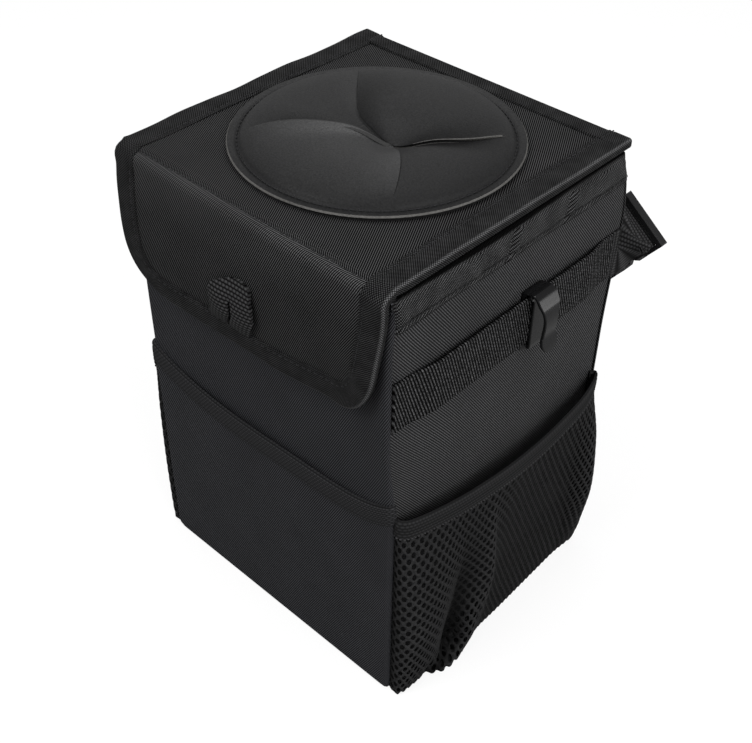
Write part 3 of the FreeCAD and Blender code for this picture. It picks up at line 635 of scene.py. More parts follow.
# each crease: its place along the side, its height and its width
creases = ((-27, 0.5, 2.4), (-6, -1.2, 1.5), (-2, 1.0, 1.9), (33, -1.1, 1.3), (37, 1.0, 1.8), (57, 0.5, 2.6))
buckled = 0.16 * np.sin(run / 7.3) + 0.1 * np.sin(run / 3.1) - 0.3 * bell(low + sewn_down, 0.9)
for place, height, width in creases:
    slant = run - place - 0.45 * (low + 8)
    buckled = buckled + height * bell(slant, width) * (1 - 0.5 * smooth_step((-low - 9) / 9))
dropped = low + (low < -14) * (0.35 * np.sin(run / 9) - 0.2)
sections = np.stack([np.minimum(off + leg * buckled, 1.9), dropped], -1)
points, faces, weave = sweep(rim_line, outward, UP, sections[:, ::-1], True)
points[:, 1] += pulled_out(*points.T) * np.tile(outer[::-1], len(rim_line))
weave[:, 0] = np.tile(run_lengths(rim_section[::-1]), len(rim_line))
rim_tape = piece("rim_tape_folded", points, faces, rim_tape_finish, "bin", weave, sharp=60,
                 stands_for=["rim_tape"])
# painted shade on the rim tape: the top of its outer leg is darkened where the lid's shadow falls, with
# darker lines at the stitches and along its lower edge; its top is dark and its inner leg a little darker
gap = 0.3 + 1.5 * bell(run + 15, 38)  # in the lid's shadow
shade = smooth_step((-low - gap) / 1.1) * (1 - 0.65 * bell(low + sewn_down, 0.55))
shade = shade * (0.15 + 0.85 * smooth_step((low + 15.1) / 0.7))
store_shade(rim_tape, np.where(outer, shade, np.where(low > -1.2, 0.1, 0.8))[:, ::-1])
stitch_line = rim_line + outward * 0.75 - UP * sewn_down
stitch_line[:, 1] += pulled_out(*stitch_line.T)
closing = np.r_[0:len(rim_line), 0]
stitches("rim_stitches", stitch_line[closing], outward[closing], thread, "bin", radius=0.26)

# %% [markdown]
# The lid and the front flap are one cloth that turns over the front edge. A line of stitches just behind the
# turn pinches it into a ridge. So one function gives a place on this cloth: x across, v the distance from the
# lid's back edge. It goes level, round a small bend and down, and soft bulges push it out along its normal.

# %% Lid and flap as one cloth
lid_high, flap_low = span("lid_skin")[1], span("flap_skin")[0]
lid_half, lid_back, lid_top = lid_high
flap_face, flap_bottom = flap_low[1:]
bend, flap_round = 5.0, 25.0
lid_run = lid_back - (flap_face + bend)
fold_end = lid_run + bend * math.pi / 2
flap_end = fold_end + (lid_top - bend - flap_bottom)
stitch_v = lid_run + 3.3


def flap_share(v):
    return np.clip((v - fold_end) / (flap_end - fold_end), 0, 1)


def cloth_height(x, v):
    """How far the cloth stands off the plain lid and flap."""
    past = v - stitch_v
    ridge = 1.5 * bell(past - 4.2, 3.6) - 0.7 * bell(past, 0.9) + 0.2 * bell(past + 2.6, 1.4)
    on_lid = 1 - smooth_step((v - lid_run + 12) / 10)
    lid = 0.32 * np.sin(x / 27 + 0.8) * np.sin(v / 21 + 0.4) * on_lid * (1 - (x / lid_half) ** 6)
    t = flap_share(v)
    belly = 1.3 * (1 - (x / lid_half) ** 2) * np.sin(math.pi * t) + 0.35 * np.sin(x / 19 + t * 4) * t
    left_curl = 3.4 * smooth_step((-x - 30) / 50) * np.sin(math.pi * 0.9 * t ** 0.85)
    right_curl = 2.6 * smooth_step((x - 46) / 34) * smooth_step(t * 1.1)
    swell = 2.0 * smooth_step(past / 11) * (1 - 0.6 * t) * (1 - 0.7 * smooth_step((-x - 35) / 45))
    return ridge + lid + belly + left_curl + right_curl + swell


def over_front(x, v, off=0.0):
    x, v = np.broadcast_arrays(np.asarray(x, float), np.asarray(v, float))
    turn = np.clip((v - lid_run) / bend, 0, math.pi / 2)
    y = lid_back - np.minimum(v, lid_run) - bend * np.sin(turn)
    short = 1 - 0.075 * smooth_step((x - 12) / 50)  # the flap's right corner is cut higher
    z = lid_top - bend * (1 - np.cos(turn)) - np.maximum(v - fold_end, 0) * short
    h = cloth_height(x, v) + off
    drawn_in = 6.0 * np.clip(x / lid_half, 0, 1) ** 2 * smooth_step(1.1 * flap_share(v))  # at the right edge
    return np.stack([x - drawn_in, y - h * np.sin(turn), z + h * np.cos(turn)], -1)


def half_at(v):
    deep = np.clip(v - (flap_end - flap_round), 0, flap_round)
    return lid_half - flap_round + np.sqrt(flap_round ** 2 - deep ** 2)

# %% [markdown]
# The grid is finest at the fold, and its last rows follow the flap's round corners. The cells in the mouth
# are left out.

# %% Lay the cloth
rows = np.r_[np.linspace(0, lid_run - 7, 78), np.linspace(lid_run - 6.2, fold_end + 3, 26),
             np.linspace(fold_end + 5, flap_end - flap_round, 22),
             flap_end - flap_round + flap_round * np.sin(np.linspace(0.09, math.pi / 2, 17))]
X = np.linspace(1, -1, 97)[:, None] * half_at(rows)
grid = over_front(X, rows)
near = (np.hypot(grid[:, :, 0], grid[:, :, 1]) < 59.0) & (rows < lid_run)  # the mouth, under the petals
gone = np.zeros(near.shape, bool)
gone[:-1, :-1] = near[:-1, :-1] | near[1:, :-1] | near[:-1, 1:] | near[1:, 1:]
lid_cloth = cloth("lid_and_flap", grid, 1.45, lid_twill, stands_for=["lid_skin", "flap_skin"],
                  weave=as_grid(X, rows, 0).reshape(-1, 3), gone=gone)
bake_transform(lid_cloth)
line = over_front(np.linspace(lid_half - 12, -lid_half + 12, 60), stitch_v, 0.1)
stitches("crease_stitches", line, UP, thread, "lid", length=2.6, radius=0.3)
print("flap hangs", round(flap_end - fold_end, 1), "mm below the fold")

# %% [markdown]
# One long tape binds the lid's two sides and the flap's three free edges, and goes over the fold with the
# cloth. Its line is drawn on the flat cloth and lifted with the same function, so it can't part from the
# cloth's edge.

# %% Edge tape
tape_wide, tape_step = 11.6, 1.5
arc = np.linspace(0, math.pi / 2, 20)[1:]
half_edge = np.r_[np.c_[np.full(150, lid_half), np.linspace(0, flap_end - flap_round, 150)],
                  np.c_[lid_half - flap_round * (1 - np.cos(arc)), flap_end - flap_round * (1 - np.sin(arc))],
                  np.c_[np.linspace(lid_half - flap_round, 0, 30), np.full(30, flap_end)][1:]]
edge = evenly(np.r_[half_edge, half_edge[-2::-1] * [-1, 1]], tape_step)
run = unit(np.gradient(edge, axis=0))
inward = np.stack([-run[:, 1], run[:, 0]], 1)
inward *= np.where(np.sum(inward * ([0, flap_end / 2] - edge), 1) < 0, -1, 1)[:, None]
on_edge = over_front(*edge.T)
side = unit(over_front(*(edge + inward * 6).T) - on_edge)
off = unit(np.cross(side, tangents(on_edge)))
up = over_front(*edge.T, 1.0) - on_edge
off *= np.where(np.sum(off * up, 1) < 0, -1, 1)[:, None]
side = unit(side - off * np.sum(side * off, 1, keepdims=True))
deep = np.where(edge[:, 1] < lid_run + 3, 3.7, 2.75)  # the lid has a board under its cloth
deep = np.convolve(np.pad(deep, 4, mode="edge"), np.ones(9) / 9, "valid")
sections = []
for i, ((x, v), d) in enumerate(zip(edge, deep)):
    t = i * tape_step
    e = 0.78 + 0.1 * math.sin(t / 8.3) + 0.07 * math.sin(t / 3.7 + 1)
    wave = 0.35 * math.sin(t / 9.1) if x < 0 and v < lid_run else 0.0
    ring = [(tape_wide, -0.3), (tape_wide - 0.15, e * 0.8)]
    ring += [(a, e + 0.12 - 0.35 * bell(a - tape_wide + 2.1, 0.8) + wave * (1 - a / tape_wide))
             for a in np.linspace(tape_wide - 1.0, 1.2, 9)]
    ring += [(0.2, e + 0.1 + wave), (-0.55, e - 0.25 + wave), (-0.9, e - 1.1 + wave), (-0.9, -d + 1.1),
             (-0.6, -d + 0.35), (0.2, -d + 0.02), (1.4, -d), (tape_wide - 1, -d), (tape_wide - 1, -d + 0.5)]
    sections.append(ring)
points, faces, weave = sweep(on_edge, side, off, sections)
weave[:, 0] = np.tile(run_lengths(sections[0]), len(edge))
edge_tape = piece("edge_tape", points, faces, edge_tape_finish, None, weave, sharp=60,
                  stands_for=["lid_tape_right", "lid_tape_left", "flap_tape"])
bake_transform(edge_tape)
sewn = on_edge + side * (tape_wide - 2.1) + off * 0.6
on_lid, index, half = edge[:, 1] < lid_run - 6, np.arange(len(edge)), len(edge) // 2
for name, part, body in (("lid_tape_stitches_right", on_lid & (index < half), "lid"),
                         ("lid_tape_stitches_left", on_lid & (index > half), "lid"),
                         ("flap_tape_stitches", edge[:, 1] > fold_end + 4, "flap")):
    stitches(name, sewn[part], off[part], thread, body)

# %% [markdown]
# The pull tab is a short length of webbing bent on edge into an arch and sewn under the flap's tape. Bent
# that way the inner edge bunches and the middle stands off the flap, which throws the shadow beside it.

# %% Pull tab
tab_low, tab_high = span("pull_tab")
tab_x, tab_out = (tab_low[0] + tab_high[0]) / 2, (tab_high[0] - tab_low[0]) / 2
tab_base = tab_low[2] - 1.5
tab_leg = tab_high[2] - tab_out - tab_low[2] + 4.0
tab_grid = []
for s in np.r_[np.linspace(0, 1, 9)[:-1], np.linspace(1, 2, 25), np.linspace(2, 3, 9)[1:]]:
    line = []
    for k in np.linspace(0, 1, 9):
        r = 0.75 + (tab_out - 2.4) * k
        if s < 1:
            x, z = -r, tab_base + tab_leg * s
        elif s > 2:
            x, z = r, tab_base + tab_leg * (3 - s)
        else:
            a = math.pi * (2 - s)
            x, z = r * math.cos(a), tab_base + tab_leg + r * math.sin(a)
        rise = (z - tab_base) / (tab_leg + tab_out - 2.5)
        arch = (3.4 - 0.04 * x) * math.sin(math.pi * min(1, rise) ** 0.9)
        stand = 1.3 + arch + 0.3 * math.sin(5 * rise + x / 5)
        cup = -0.8 * (2 * k - 1) ** 2 * math.sin(math.pi * min(1, rise + 0.1))
        x += tab_x + 1.2 + 5.2 * smooth_step(2.5 * rise) + 4.2 * smooth_step(4 * rise - 3)
        on_flap = over_front(x, fold_end + (lid_top - bend - z))
        line.append((x, on_flap[1] - stand - cup, z))
    tab_grid.append(line)
tab_grid = np.array(tab_grid)
tab_flat = tab_grid[:, :, [0, 2, 1]] * [1, 1, 0]
cloth("pull_tab_webbing", tab_grid, 1.5, tab_finish, "flap", ["pull_tab"], weave=tab_flat.reshape(-1, 3))

# %% [markdown]
# The round mouth is one die-cut piece of foam rubber, sewn on near its edge. Four slits part it into petals.
# The stitches pull the ring flat and the middle swells up like a cushion. The slits are bowed, and the petals
# have settled unevenly, one edge over the next, so each petal gets its own lift along each of its two edges.

# %% Petal disc
disc_radius, disc_thick = span("petal_disc")[1][0], 3.0
sewn_radius, slit_radius, dome = 61.0, 56.5, 6.4
meeting = np.array([12.2, -3.7])  # where the four tips have settled, right of the middle
slit_ways = (((0.8, -9.3), (-10.8, -15.6), (-24.5, -24.7), (-40.0, -40.0)),
             ((22.2, -10.3), (32.5, -20.8), (39.8, -30.9), (42.9, -36.8)),
             ((25.3, 5.7), (37.4, 17.8), (45.4, 33.7)),
             ((-3.0, -3.4), (-12.3, 1.0), (-23.8, 12.2), (-44.5, 34.8)))
slit_shares = np.linspace(0, 1, 60)
slits_flat = []
for way in slit_ways:
    way = spline([meeting, *way], 16)
    run = run_lengths(way)
    slits_flat.append([np.interp(slit_shares, run / run[-1], way[:, c]) for c in (0, 1)])
# how each petal's first and last edge lies: lift, and the share of the petal it takes
edge_lift = (((1.7, 0.2), (0.5, 0.2)), ((-0.1, 0.2), (-2.4, 0.45)), ((-1.1, 0.3), (0.2, 0.2)),
             ((-0.5, 0.2), (-1.6, 0.3)))
tip_lift = (0.5, -0.5, 0.2, -0.6)
tip_dip, half_gap = 6.0, 0.09


def petal_point(k, share, r):
    t = min(r / slit_radius, 1.0)
    centre = meeting * (1 - t)
    low, high = (np.array([np.interp(t, slit_shares, line) for line in slits_flat[(k + s) % 4]]) - centre
                 for s in (0, 1))
    a, b = math.atan2(low[1], low[0]), math.atan2(high[1], high[0])
    b += 2 * math.pi if b < a else 0
    far = (1 - share) * np.hypot(*low) + share * np.hypot(*high)
    gap = half_gap * math.sin(math.pi * t) ** 0.5 / max(far, 1.5)
    a, b = a + gap, b - gap
    far = far if r <= slit_radius else r
    x, y = centre + far * np.array([math.cos(a + (b - a) * share), math.sin(a + (b - a) * share)])
    q = min(math.hypot(x, y) / (sewn_radius - 1.2), 1.0)
    z = disc_thick + dome * (1 - q ** 5) ** 0.6
    z -= tip_dip * math.exp(-((x - meeting[0]) ** 2 + (y - meeting[1]) ** 2) / 150)
    (first, wide), (last, wide_last) = edge_lift[k]
    lift = first * (1 - smooth_step(share / wide)) + last * (1 - smooth_step((1 - share) / wide_last))
    z += lift * math.sin(math.pi * t ** 0.8) ** 0.8 + tip_lift[k] * (1 - t) ** 3
    return x, y, lid_top + z - 0.75 * bell(r - sewn_radius, 0.9)

# %% [markdown]
# Each petal's colour and shine are painted: lighter where light would fall on it, darker where it would lie
# in shade, set for each petal, tip and edge. The disc is a grid of rings and spokes with the slits left open,
# and the pale foam shows on the outer rim and cut faces.

# %% Shine, disc and stitches
# painted light on the petals: the shine at each petal's tip, and what is added along its first and last edge
tip_shine = (2.0, 1.25, 0.65, 0.75)
edge_shine = ((0.5, 0.4), (0.0, -0.6), (-0.35, -0.45), (0.25, -0.5))
ring_shine = 0.85


def petal_shine(k, share, r, x, y):
    t = min(r / slit_radius, 1.0)
    first, last = edge_shine[k]
    edges = first * (1 - smooth_step(share / 0.3)) + last * (1 - smooth_step((1 - share) / 0.3))
    ring = ring_shine - 0.38 * (x - y) / (math.sqrt(2) * disc_radius)
    shine = ring + (tip_shine[k] - ring_shine) * (1 - t) + edges * math.sin(math.pi * t ** 0.8) ** 0.8
    return np.clip(shine, 0.2, 2.2)


radii = np.r_[0.7, 2, 4, np.linspace(6, 50, 24), np.linspace(52, slit_radius, 4), np.linspace(57.2, 63, 13),
              64, 64.8, disc_radius - 0.55, disc_radius]
shares = np.r_[0, 0.013, np.linspace(0.04, 0.96, 29), 0.987, 1]
grid, slits, shine = [], [], []
for k in (3, 2, 1, 0):
    for share in shares[::-1]:
        grid.append([petal_point(k, share, r) for r in radii])
        shine.append([petal_shine(k, share, r, x, y) for r, (x, y, z) in zip(radii, grid[-1])])
    slits.append(len(grid) - 1)
grid = np.array(grid)
grid[:, -2:, 2] -= np.array([0.1, 0.8])
gone = np.zeros(grid.shape[:2], bool)
gone[slits, :np.searchsorted(radii, slit_radius - 0.01)] = True
points, faces = slab(grid, disc_thick - 0.35, gone, around=True)
disc = piece("petal_disc_rubber", points, faces, rubber, "lid", sharp=50, stands_for=["petal_disc"])
store_shade(disc, np.tile(np.ravel(shine), 2))
disc.data.materials.append(pale_cut_and_highlight_rubber.material)
disc.data.materials.append(edge_and_highlight_rubber.material)
surface_cells = 2 * int((~gone[:, :-1]).sum())
# painted highlight: the top faces beside two slits take the lighter edge colours; the outer rim and the
# slab's cut faces take them as the foam's cut colour
bright = (slits[1] - 1, slits[3] - 1)  # the cut edges that lie on top and catch the light
rim_column = len(radii) - 2
for n, polygon in enumerate(disc.data.polygons):
    i, j = divmod(polygon.vertices[0], len(radii))
    on_painted_highlight = i in bright and 8 < radii[j] < 53
    if n >= surface_cells or (n % 2 == 0 and (on_painted_highlight or j == rim_column)):
        polygon.material_index = 1 if j >= rim_column or abs(i - slits[1]) <= 2 else 2
turn = np.linspace(0, 2 * math.pi, 400)
line = as_grid(sewn_radius * np.cos(turn), sewn_radius * np.sin(turn), lid_top + disc_thick - 0.5)
stitches("disc_stitches", line, UP, thread, "lid", length=2.3, pitch=3.3, radius=0.32)

# %% [markdown]
# The front pocket is the same cloth, flat because it is empty, with an elastic band sewn over its top edge.
# The band has pulled the top into a shallow sag. Both follow one curve for the top edge.

# %% Front pocket and its elastic
pocket_half, pocket_y = half_width + 0.7, front_y - 0.75
hem_low, hem_band = 126.0, 11.6  # the height of the hem's middle, and the width of the elastic


def pocket_top(x):
    left, right = np.clip(-x / pocket_half, 0, 1), np.clip(x / pocket_half, 0, 1)
    return hem_low + 9.6 * left ** 4.5 + 8.6 * right ** 6 + 0.35 * np.sin(x / 13)


line = round_front(pocket_half, pocket_y, -seam_y - 0.2, 2.1, pocket_half - 5, 88)
x0, y0, nx, ny = line.T[:, :, None]
share = np.r_[0, 0.004, 0.012, 0.03, np.linspace(0.06, 1, 40)]
bow = 2.2 * np.sin(math.pi * np.clip((x0 + pocket_half) / (2 * pocket_half), 0, 1)) ** 1.2
corner_cut = np.where(x0 < 0, 6.0, 3.2)  # how far the lower corners are rounded off
near = np.clip(np.abs(x0) - pocket_half + corner_cut, 0, corner_cut)
low = corner_cut - np.sqrt(corner_cut ** 2 - near ** 2)
z = low + (pocket_top(x0) - 1.0 - low) * share
under = 1.3 * np.maximum(0, 1 - share / 0.02) ** 2
out = bow * smooth_step(share * 1.15) + 0.35 * soft_waves(x0, z) * np.sin(math.pi * share) - under
grid = as_grid(x0 + nx * out * (np.abs(nx) < 0.5), y0 + ny * out, z)
pocket = cloth("front_pocket_cloth", grid, 0.9, front_twill, "bin", ["front_pocket"])
pocket_cut = cut_size(grid)

hem = line[1:-1]
path = np.c_[hem[:, 0], hem[:, 1] + hem[:, 3] * bow[1:-1, 0], pocket_top(hem[:, 0])]
section = [(hem_band, 0.0), (hem_band, 0.7)]
for d in np.linspace(0.8, hem_band - 0.6, 12)[::-1]:
    seams = 0.25 * bell(d - 9.3, 0.6) + 0.25 * bell(d - 2.2, 0.6)
    section.append((d, 1.0 + 0.35 * math.sin(math.pi * d / hem_band) - seams))
section += [(0.1, 0.75), (-0.35, 0.1), (-0.3, -0.7), (0.2, -1.1), (3.0, -1.15), (3.0, -0.2)]
points, faces, weave = sweep(path, -UP, np.c_[hem[:, 2:4], np.zeros(len(hem))], section)
band = piece("front_pocket_band", points, faces, front_elastic, "bin", weave[:, [1, 0, 2]],
             stands_for=["front_pocket_hem"])
print("pocket sags", round(float(pocket_top(-pocket_half) - pocket_top(0)), 1), "mm at its middle")

# %% [markdown]
# The side pockets are knitted net, closed below and gathered by an elastic hem, so they belly out and fold.
# The form is drawn as five level outlines, from the floor up to the hem, and soft curves join them. The dip
# in the middle of each list is the deep fold, which wanders backwards as it rises. A cloth simulation would
# fold somewhere else each time; here the folds have known places.

# %% The pocket's surface
# each outline runs from the front seam to the rear one, as how far it stands out and where it is along Y
floor_line = [(0, -72.7), (4.2, -73.6), (6.6, -73.2), (7.6, -70.5), (8.0, -67), (8.2, -63.5), (8.3, -60.5),
              (8.2, -58), (7.4, -55.6), (11.5, -51.5), (15.0, -45), (14.6, -35), (11.2, -24.5), (9.3, -14),
              (9.0, 1), (8.4, 18), (7.7, 37), (7.1, 55), (7.7, 65), (7.9, 71.5), (5.0, 75.4), (0, 72.8)]
ankle_line = [(0, -72.7), (4.8, -73.8), (8.2, -72.2), (9.6, -68), (10.2, -62.5), (10.2, -57), (9.7, -51.5),
              (8.4, -46), (5.8, -40), (8.0, -36), (12.6, -32.5), (14.4, -27.5), (12.4, -20), (10.2, -12),
              (9.2, 2), (8.6, 19), (8.0, 38), (8.0, 55), (9.4, 65.5), (9.9, 72), (6.4, 76), (0, 72.9)]
knee_line = [(0, -72.7), (5.2, -73.8), (9.6, -71), (12.2, -64), (12.6, -56), (11.8, -49), (10.0, -43),
             (7.6, -37), (5.4, -31.5), (6.6, -27), (9.6, -22), (12.4, -16.5), (13.4, -12), (10.2, -7),
             (7.8, 4), (7.0, 22), (7.4, 40), (9.0, 56), (12.2, 66.5), (13.4, 72.5), (9.0, 76.6), (0, 72.9)]
high_line = [(0, -72.7), (4.8, -73.6), (8.6, -70.5), (10.8, -64), (11.9, -56), (12.0, -49), (11.4, -43),
             (10.4, -37), (9.8, -31.5), (10.2, -27), (11.0, -22), (11.9, -17), (12.4, -13), (10.4, -7.5),
             (9.2, 4), (8.6, 22), (8.8, 40), (9.6, 56), (10.8, 66), (10.8, 72.5), (7.6, 76.2), (0, 72.9)]
hem_line = [(0, -72.7), (3.6, -73.1), (6.0, -70), (7.4, -63), (8.3, -55), (8.9, -48), (9.3, -42),
            (9.6, -36.5), (9.8, -31.5), (9.9, -27), (10.0, -22), (10.1, -17.5), (10.2, -13), (10.3, -7),
            (10.3, 4), (10.0, 22), (9.2, 40), (8.2, 56), (6.6, 66), (4.6, 72.5), (2.6, 75.6), (0, 73.4)]
net_levels = (0.0, 0.1, 0.4, 0.72, 1.0)
net_height, net_tuck, net_band = 112.0, 13.6, 10.8  # the net, what is turned in below it, and its elastic


def pocket_hem_top(y):
    t = np.asarray(y) / seam_y
    front = 126.5 - 12.5 * np.sin(math.pi / 2 * np.clip((t + 1) / 1.25, 0, 1))
    return np.where(t < 0.25, front, 114 + 5.5 * np.clip((t - 0.25) / 0.75, 0, 1) ** 2)

# %% [markdown]
# The knit keeps its width on every level, so its columns are spread along each outline by length. A row
# between two outlines lies on a soft curve through the four nearest. Yarn in a dip gets painted shade and
# yarn on a crest a little painted light, so each place is compared with the average round it.

# %% Join the outlines
outlines = [spline(line, 10) for line in (floor_line, ankle_line, knee_line, high_line, hem_line)]
own_runs = [run_lengths(line) for line in outlines]
net_run = (own_runs[2] + own_runs[3]) / 2
net_length = net_run[-1]
row_q = np.r_[np.linspace(-net_tuck, 0, 7), np.linspace(1.5, net_height, 90)]
column_s = np.linspace(0, net_length, 260)
even = []
for line, own, w in zip(outlines, own_runs, (0.7, 0.6, 0.3, 0.2, 0.0)):
    run = net_run * (1 - w) + own * w * net_length / own[-1]
    even.append(np.stack([np.interp(column_s, run, line[:, c]) for c in (0, 1)], 1))
hem_top = pocket_hem_top(even[-1][:, 1])
last = len(net_levels) - 1
net_surface = np.zeros((len(column_s), len(row_q), 3))
for j, q in enumerate(row_q):
    h = max(q, 0) / net_height
    w = np.interp(h, net_levels, np.arange(last + 1))
    i = min(int(w), last - 1)
    flat = between(*(even[min(max(k, 0), last)] for k in range(i - 1, i + 3)), w - i)
    tuck = 1 - 0.05 * max(0.0, 1 - h / 0.04) ** 2
    share = 1 + min(q, 0) / net_tuck
    net_surface[:, j, 0] = half_width + flat[:, 0] * tuck * share + 0.05
    net_surface[:, j, 1] = flat[:, 1] * (1 - 0.012 * (1 - share))
    net_surface[:, j, 2] = 0.55 + h * (hem_top - net_band + 1.6) + 2.2 * smooth_step(1 - 3 * share)
net_normal = grid_normals(net_surface)
# painted light: how far each place lies in a dip or on a crest, against the average round it along the net
reach = 48
wide = bell(np.arange(-reach, reach + 1) * column_s[1], 9)
stands_out = net_surface[:, :, 0]
offset = np.pad(stands_out, ((reach, reach), (0, 0)), mode="edge")
average = np.apply_along_axis(lambda column: np.convolve(column, wide / wide.sum(), "valid"), 0, offset)
net_dip_shade = np.clip(0.95 + (stands_out - average) / 3.2, 0.12, 1.3)
row_h = np.maximum(row_q, 0) / net_height
fold_y = np.interp(row_h, net_levels[:3], (-55.6, -40, -31.5))  # near the floor the deep fold shades itself
net_dip_shade *= 1 - 0.8 * bell(net_surface[:, :, 1] - fold_y - 3, 5.5) * (1 - smooth_step((row_h - 0.15) / 0.4))


def on_net(s, q, off):
    """Places and painted shade on the net from flat coordinates, by straight interpolation in the grid."""
    fs = np.interp(s, column_s, np.arange(len(column_s)))
    fq = np.interp(q, row_q, np.arange(len(row_q)))
    i, j = np.minimum(fs.astype(int), len(column_s) - 2), np.minimum(fq.astype(int), len(row_q) - 2)
    a, b = (fs - i)[:, None], (fq - j)[:, None]
    place, normal, shade = ((field[i, j] * (1 - a) + field[i + 1, j] * a) * (1 - b)
                            + (field[i, j + 1] * (1 - a) + field[i + 1, j + 1] * a) * b
                            for field in (net_surface, net_normal, net_dip_shade[:, :, None]))
    return place + unit(normal) * off[:, None], shade[:, 0]


# %% [markdown]
# The knit is a lattice of diamonds with a round hole in each. One cell is a diamond outline shared with its
# neighbours and a hole ring inside it; the outline stands proud, so the strands between holes are rounded.
# Real holes cost little here: about fifteen hundred cells of thirty-two faces a pocket. Along the seams the
# holes are closed behind with a near-black sheet, painted shade that stands in for the dark behind them.

# %% Knit the net
pitch_s, pitch_q, hole_s, hole_q, net_out = 5.1, 6.8, 1.32, 1.8, 0.45
half_s, half_q = pitch_s / 2, pitch_q / 2
diamond = ((1, 0), (0.5, 0.5), (0, 1), (-0.5, 0.5), (-1, 0), (-0.5, -0.5), (0, -1), (0.5, -0.5))
at_front, at_rear, at_hem, at_floor = 7, 20, 2.2, 3  # how far from each seam the holes are closed
cell_rings = []  # the outline, a ring on the way in, and the hole
for off, w in ((net_out, 0.0), (net_out * 0.86, 0.45), (0.0, 1.0)):
    cell_rings.append((off, [(half_s * ds * (1 - w) + hole_s * math.cos(k * math.pi / 4) * w,
                              half_q * dq * (1 - w) + hole_q * math.sin(k * math.pi / 4) * w)
                             for k, (ds, dq) in enumerate(diamond)]))


def without_doubles(rings):
    """The faces that are left when corners pushed together at the net's edge count once."""
    kept = [tuple(c for n, c in enumerate(ring) if c != ring[n - 1]) for ring in rings]
    return [ring for ring in kept if len(ring) >= 3 and len(set(ring)) == len(ring)]


def knit(length):
    """Points as (s, q, off), faces with the closing ones last, how many are open, and the cells."""
    cells, known, points, faces, closed = 0, {}, [], [], []

    def corner_point(s, q, off):
        s, q = min(max(s, 0.0), length), min(max(q, -net_tuck), net_height)
        key = (round(s, 3), round(q, 3), off)
        if key not in known:
            known[key] = len(points)
            points.append((s, q, off))
        return known[key]

    for row in range(int((net_height + net_tuck) / half_q) + 2):
        q = -net_tuck + row * half_q
        for column in range(int(length / pitch_s) + 2):
            s = column * pitch_s + (half_s if row % 2 else 0)
            if s > length + half_s or q > net_height + half_q:
                continue
            pairs = [[(corner_point(s + ds, q + dq, off), corner_point(s + ds, q + dq, -off))
                      for ds, dq in ring] for off, ring in cell_rings]
            for ring, ring_in in zip(pairs, pairs[1:]):
                for k in range(8):
                    m = (k + 1) % 8
                    faces.append((ring[k][0], ring[m][0], ring_in[m][0], ring_in[k][0]))
                    faces.append((ring[m][1], ring[k][1], ring_in[k][1], ring_in[m][1]))
            if s < at_front or s > length - at_rear or q > net_height - at_hem or q < at_floor:
                closed.append([pair[0] for pair in pairs[-1]])
            cells += 1
    faces = without_doubles(faces)
    return np.array(points, float), faces + without_doubles(closed), len(faces), cells

# %% [markdown]
# Towards the back the knit is pressed together and its columns lean, because the hem has drawn in. The
# elastic is swept along the net's top edge, and the left pocket is the right one mirrored.

# %% Lay the knit and sew on its elastic
# knit_length is the net before its rear part is pressed together; pressed_s is where each length ends up
free_s = np.linspace(0, 1.4 * net_length, 400)
stretch = 1 - 0.25 * smooth_step((free_s - 0.32 * net_length) / (0.25 * net_length))
pressed_s = np.r_[0, np.cumsum((stretch[1:] + stretch[:-1]) / 2 * np.diff(free_s))]
knit_length = float(np.interp(net_length, pressed_s, free_s))
flat_points, net_faces, open_faces, net_cells = knit(knit_length)
on_s = np.interp(flat_points[:, 0], free_s, pressed_s)
ends = np.minimum(on_s, net_length - on_s) / 12
leaning = 0.1 * smooth_step((on_s / net_length - 0.35) / 0.2) * smooth_step(ends)
on_s = np.clip(on_s + leaning * (flat_points[:, 1] - 60), 0, net_length)
net_points, net_shade = on_net(on_s, flat_points[:, 1], flat_points[:, 2])
flat_net = flat_points * [1, 1, 0]
print(net_cells, "cells in each net")

band_line = np.c_[net_surface[:, -1, :2], hem_top][2:-2]
band_out = unit(net_normal[2:-2, -1] * [1, 1, 0])
band_section = [(net_band, -0.55), (net_band + 0.1, 0.75)]
for d in np.linspace(0.9, net_band - 0.8, 14)[::-1]:
    groove = 0.28 * max(bell(d - g, 0.5) for g in (2.6, 5.0, 7.4, 9.6))
    band_section.append((d, 1.0 + 0.22 * math.sin(math.pi * d / net_band) - groove))
band_section += [(0.1, 0.7), (-0.35, 0.0), (0.1, -0.7), (1.2, -1.0), (net_band - 1, -1.0)]
band_points, band_faces, band_weave = sweep(band_line, -UP, band_out, band_section)
for name, sign in (("right", 1), ("left", -1)):
    net = piece(name + "_net", *mirrored(net_points, net_faces, sign), yarn, "bin", flat_net, 80,
                [name + "_mesh_pocket"])
    # the faces that close the holes take the near-black painted shade
    net.data.materials.append(shaded_yarn.material)
    store_shade(net, net_shade)
    for polygon in list(net.data.polygons)[open_faces:]:
        polygon.material_index = 1
    band = piece(name + "_net_band", *mirrored(band_points, band_faces, sign), net_elastic, "bin",
                 band_weave[:, [1, 0, 2]], stands_for=[name + "_pocket_hem"])
    foot = (band_line + band_out * 0.75 - UP * (net_band + 0.3)) * [sign, 1, 1]
    loops = stitches(name + "_band_loops", foot, band_out * [sign, 1, 1], loop_thread, "bin", length=1.2,
                     pitch=1.9, radius=0.3)

for made in padded[2:4]:  # painted shade: the side walls are darkened inside the pockets
    place = np.array([tuple(vertex.co) for vertex in made.data.vertices]) / MM
    inside = smooth_step((pocket_hem_top(place[:, 1]) - place[:, 2] - 7.5) / 6)
    store_shade(made, 1 - 0.97 * inside)

# %% [markdown]
# The side webbing is sewn into both upright seams and rides clear of the wall in between, so a clip can
# slide. The clip is one moulding: a loop round the webbing and a springy tongue that comes over the top and
# hangs down. Both parts are strips, so each is a flat section carried along its bent line.

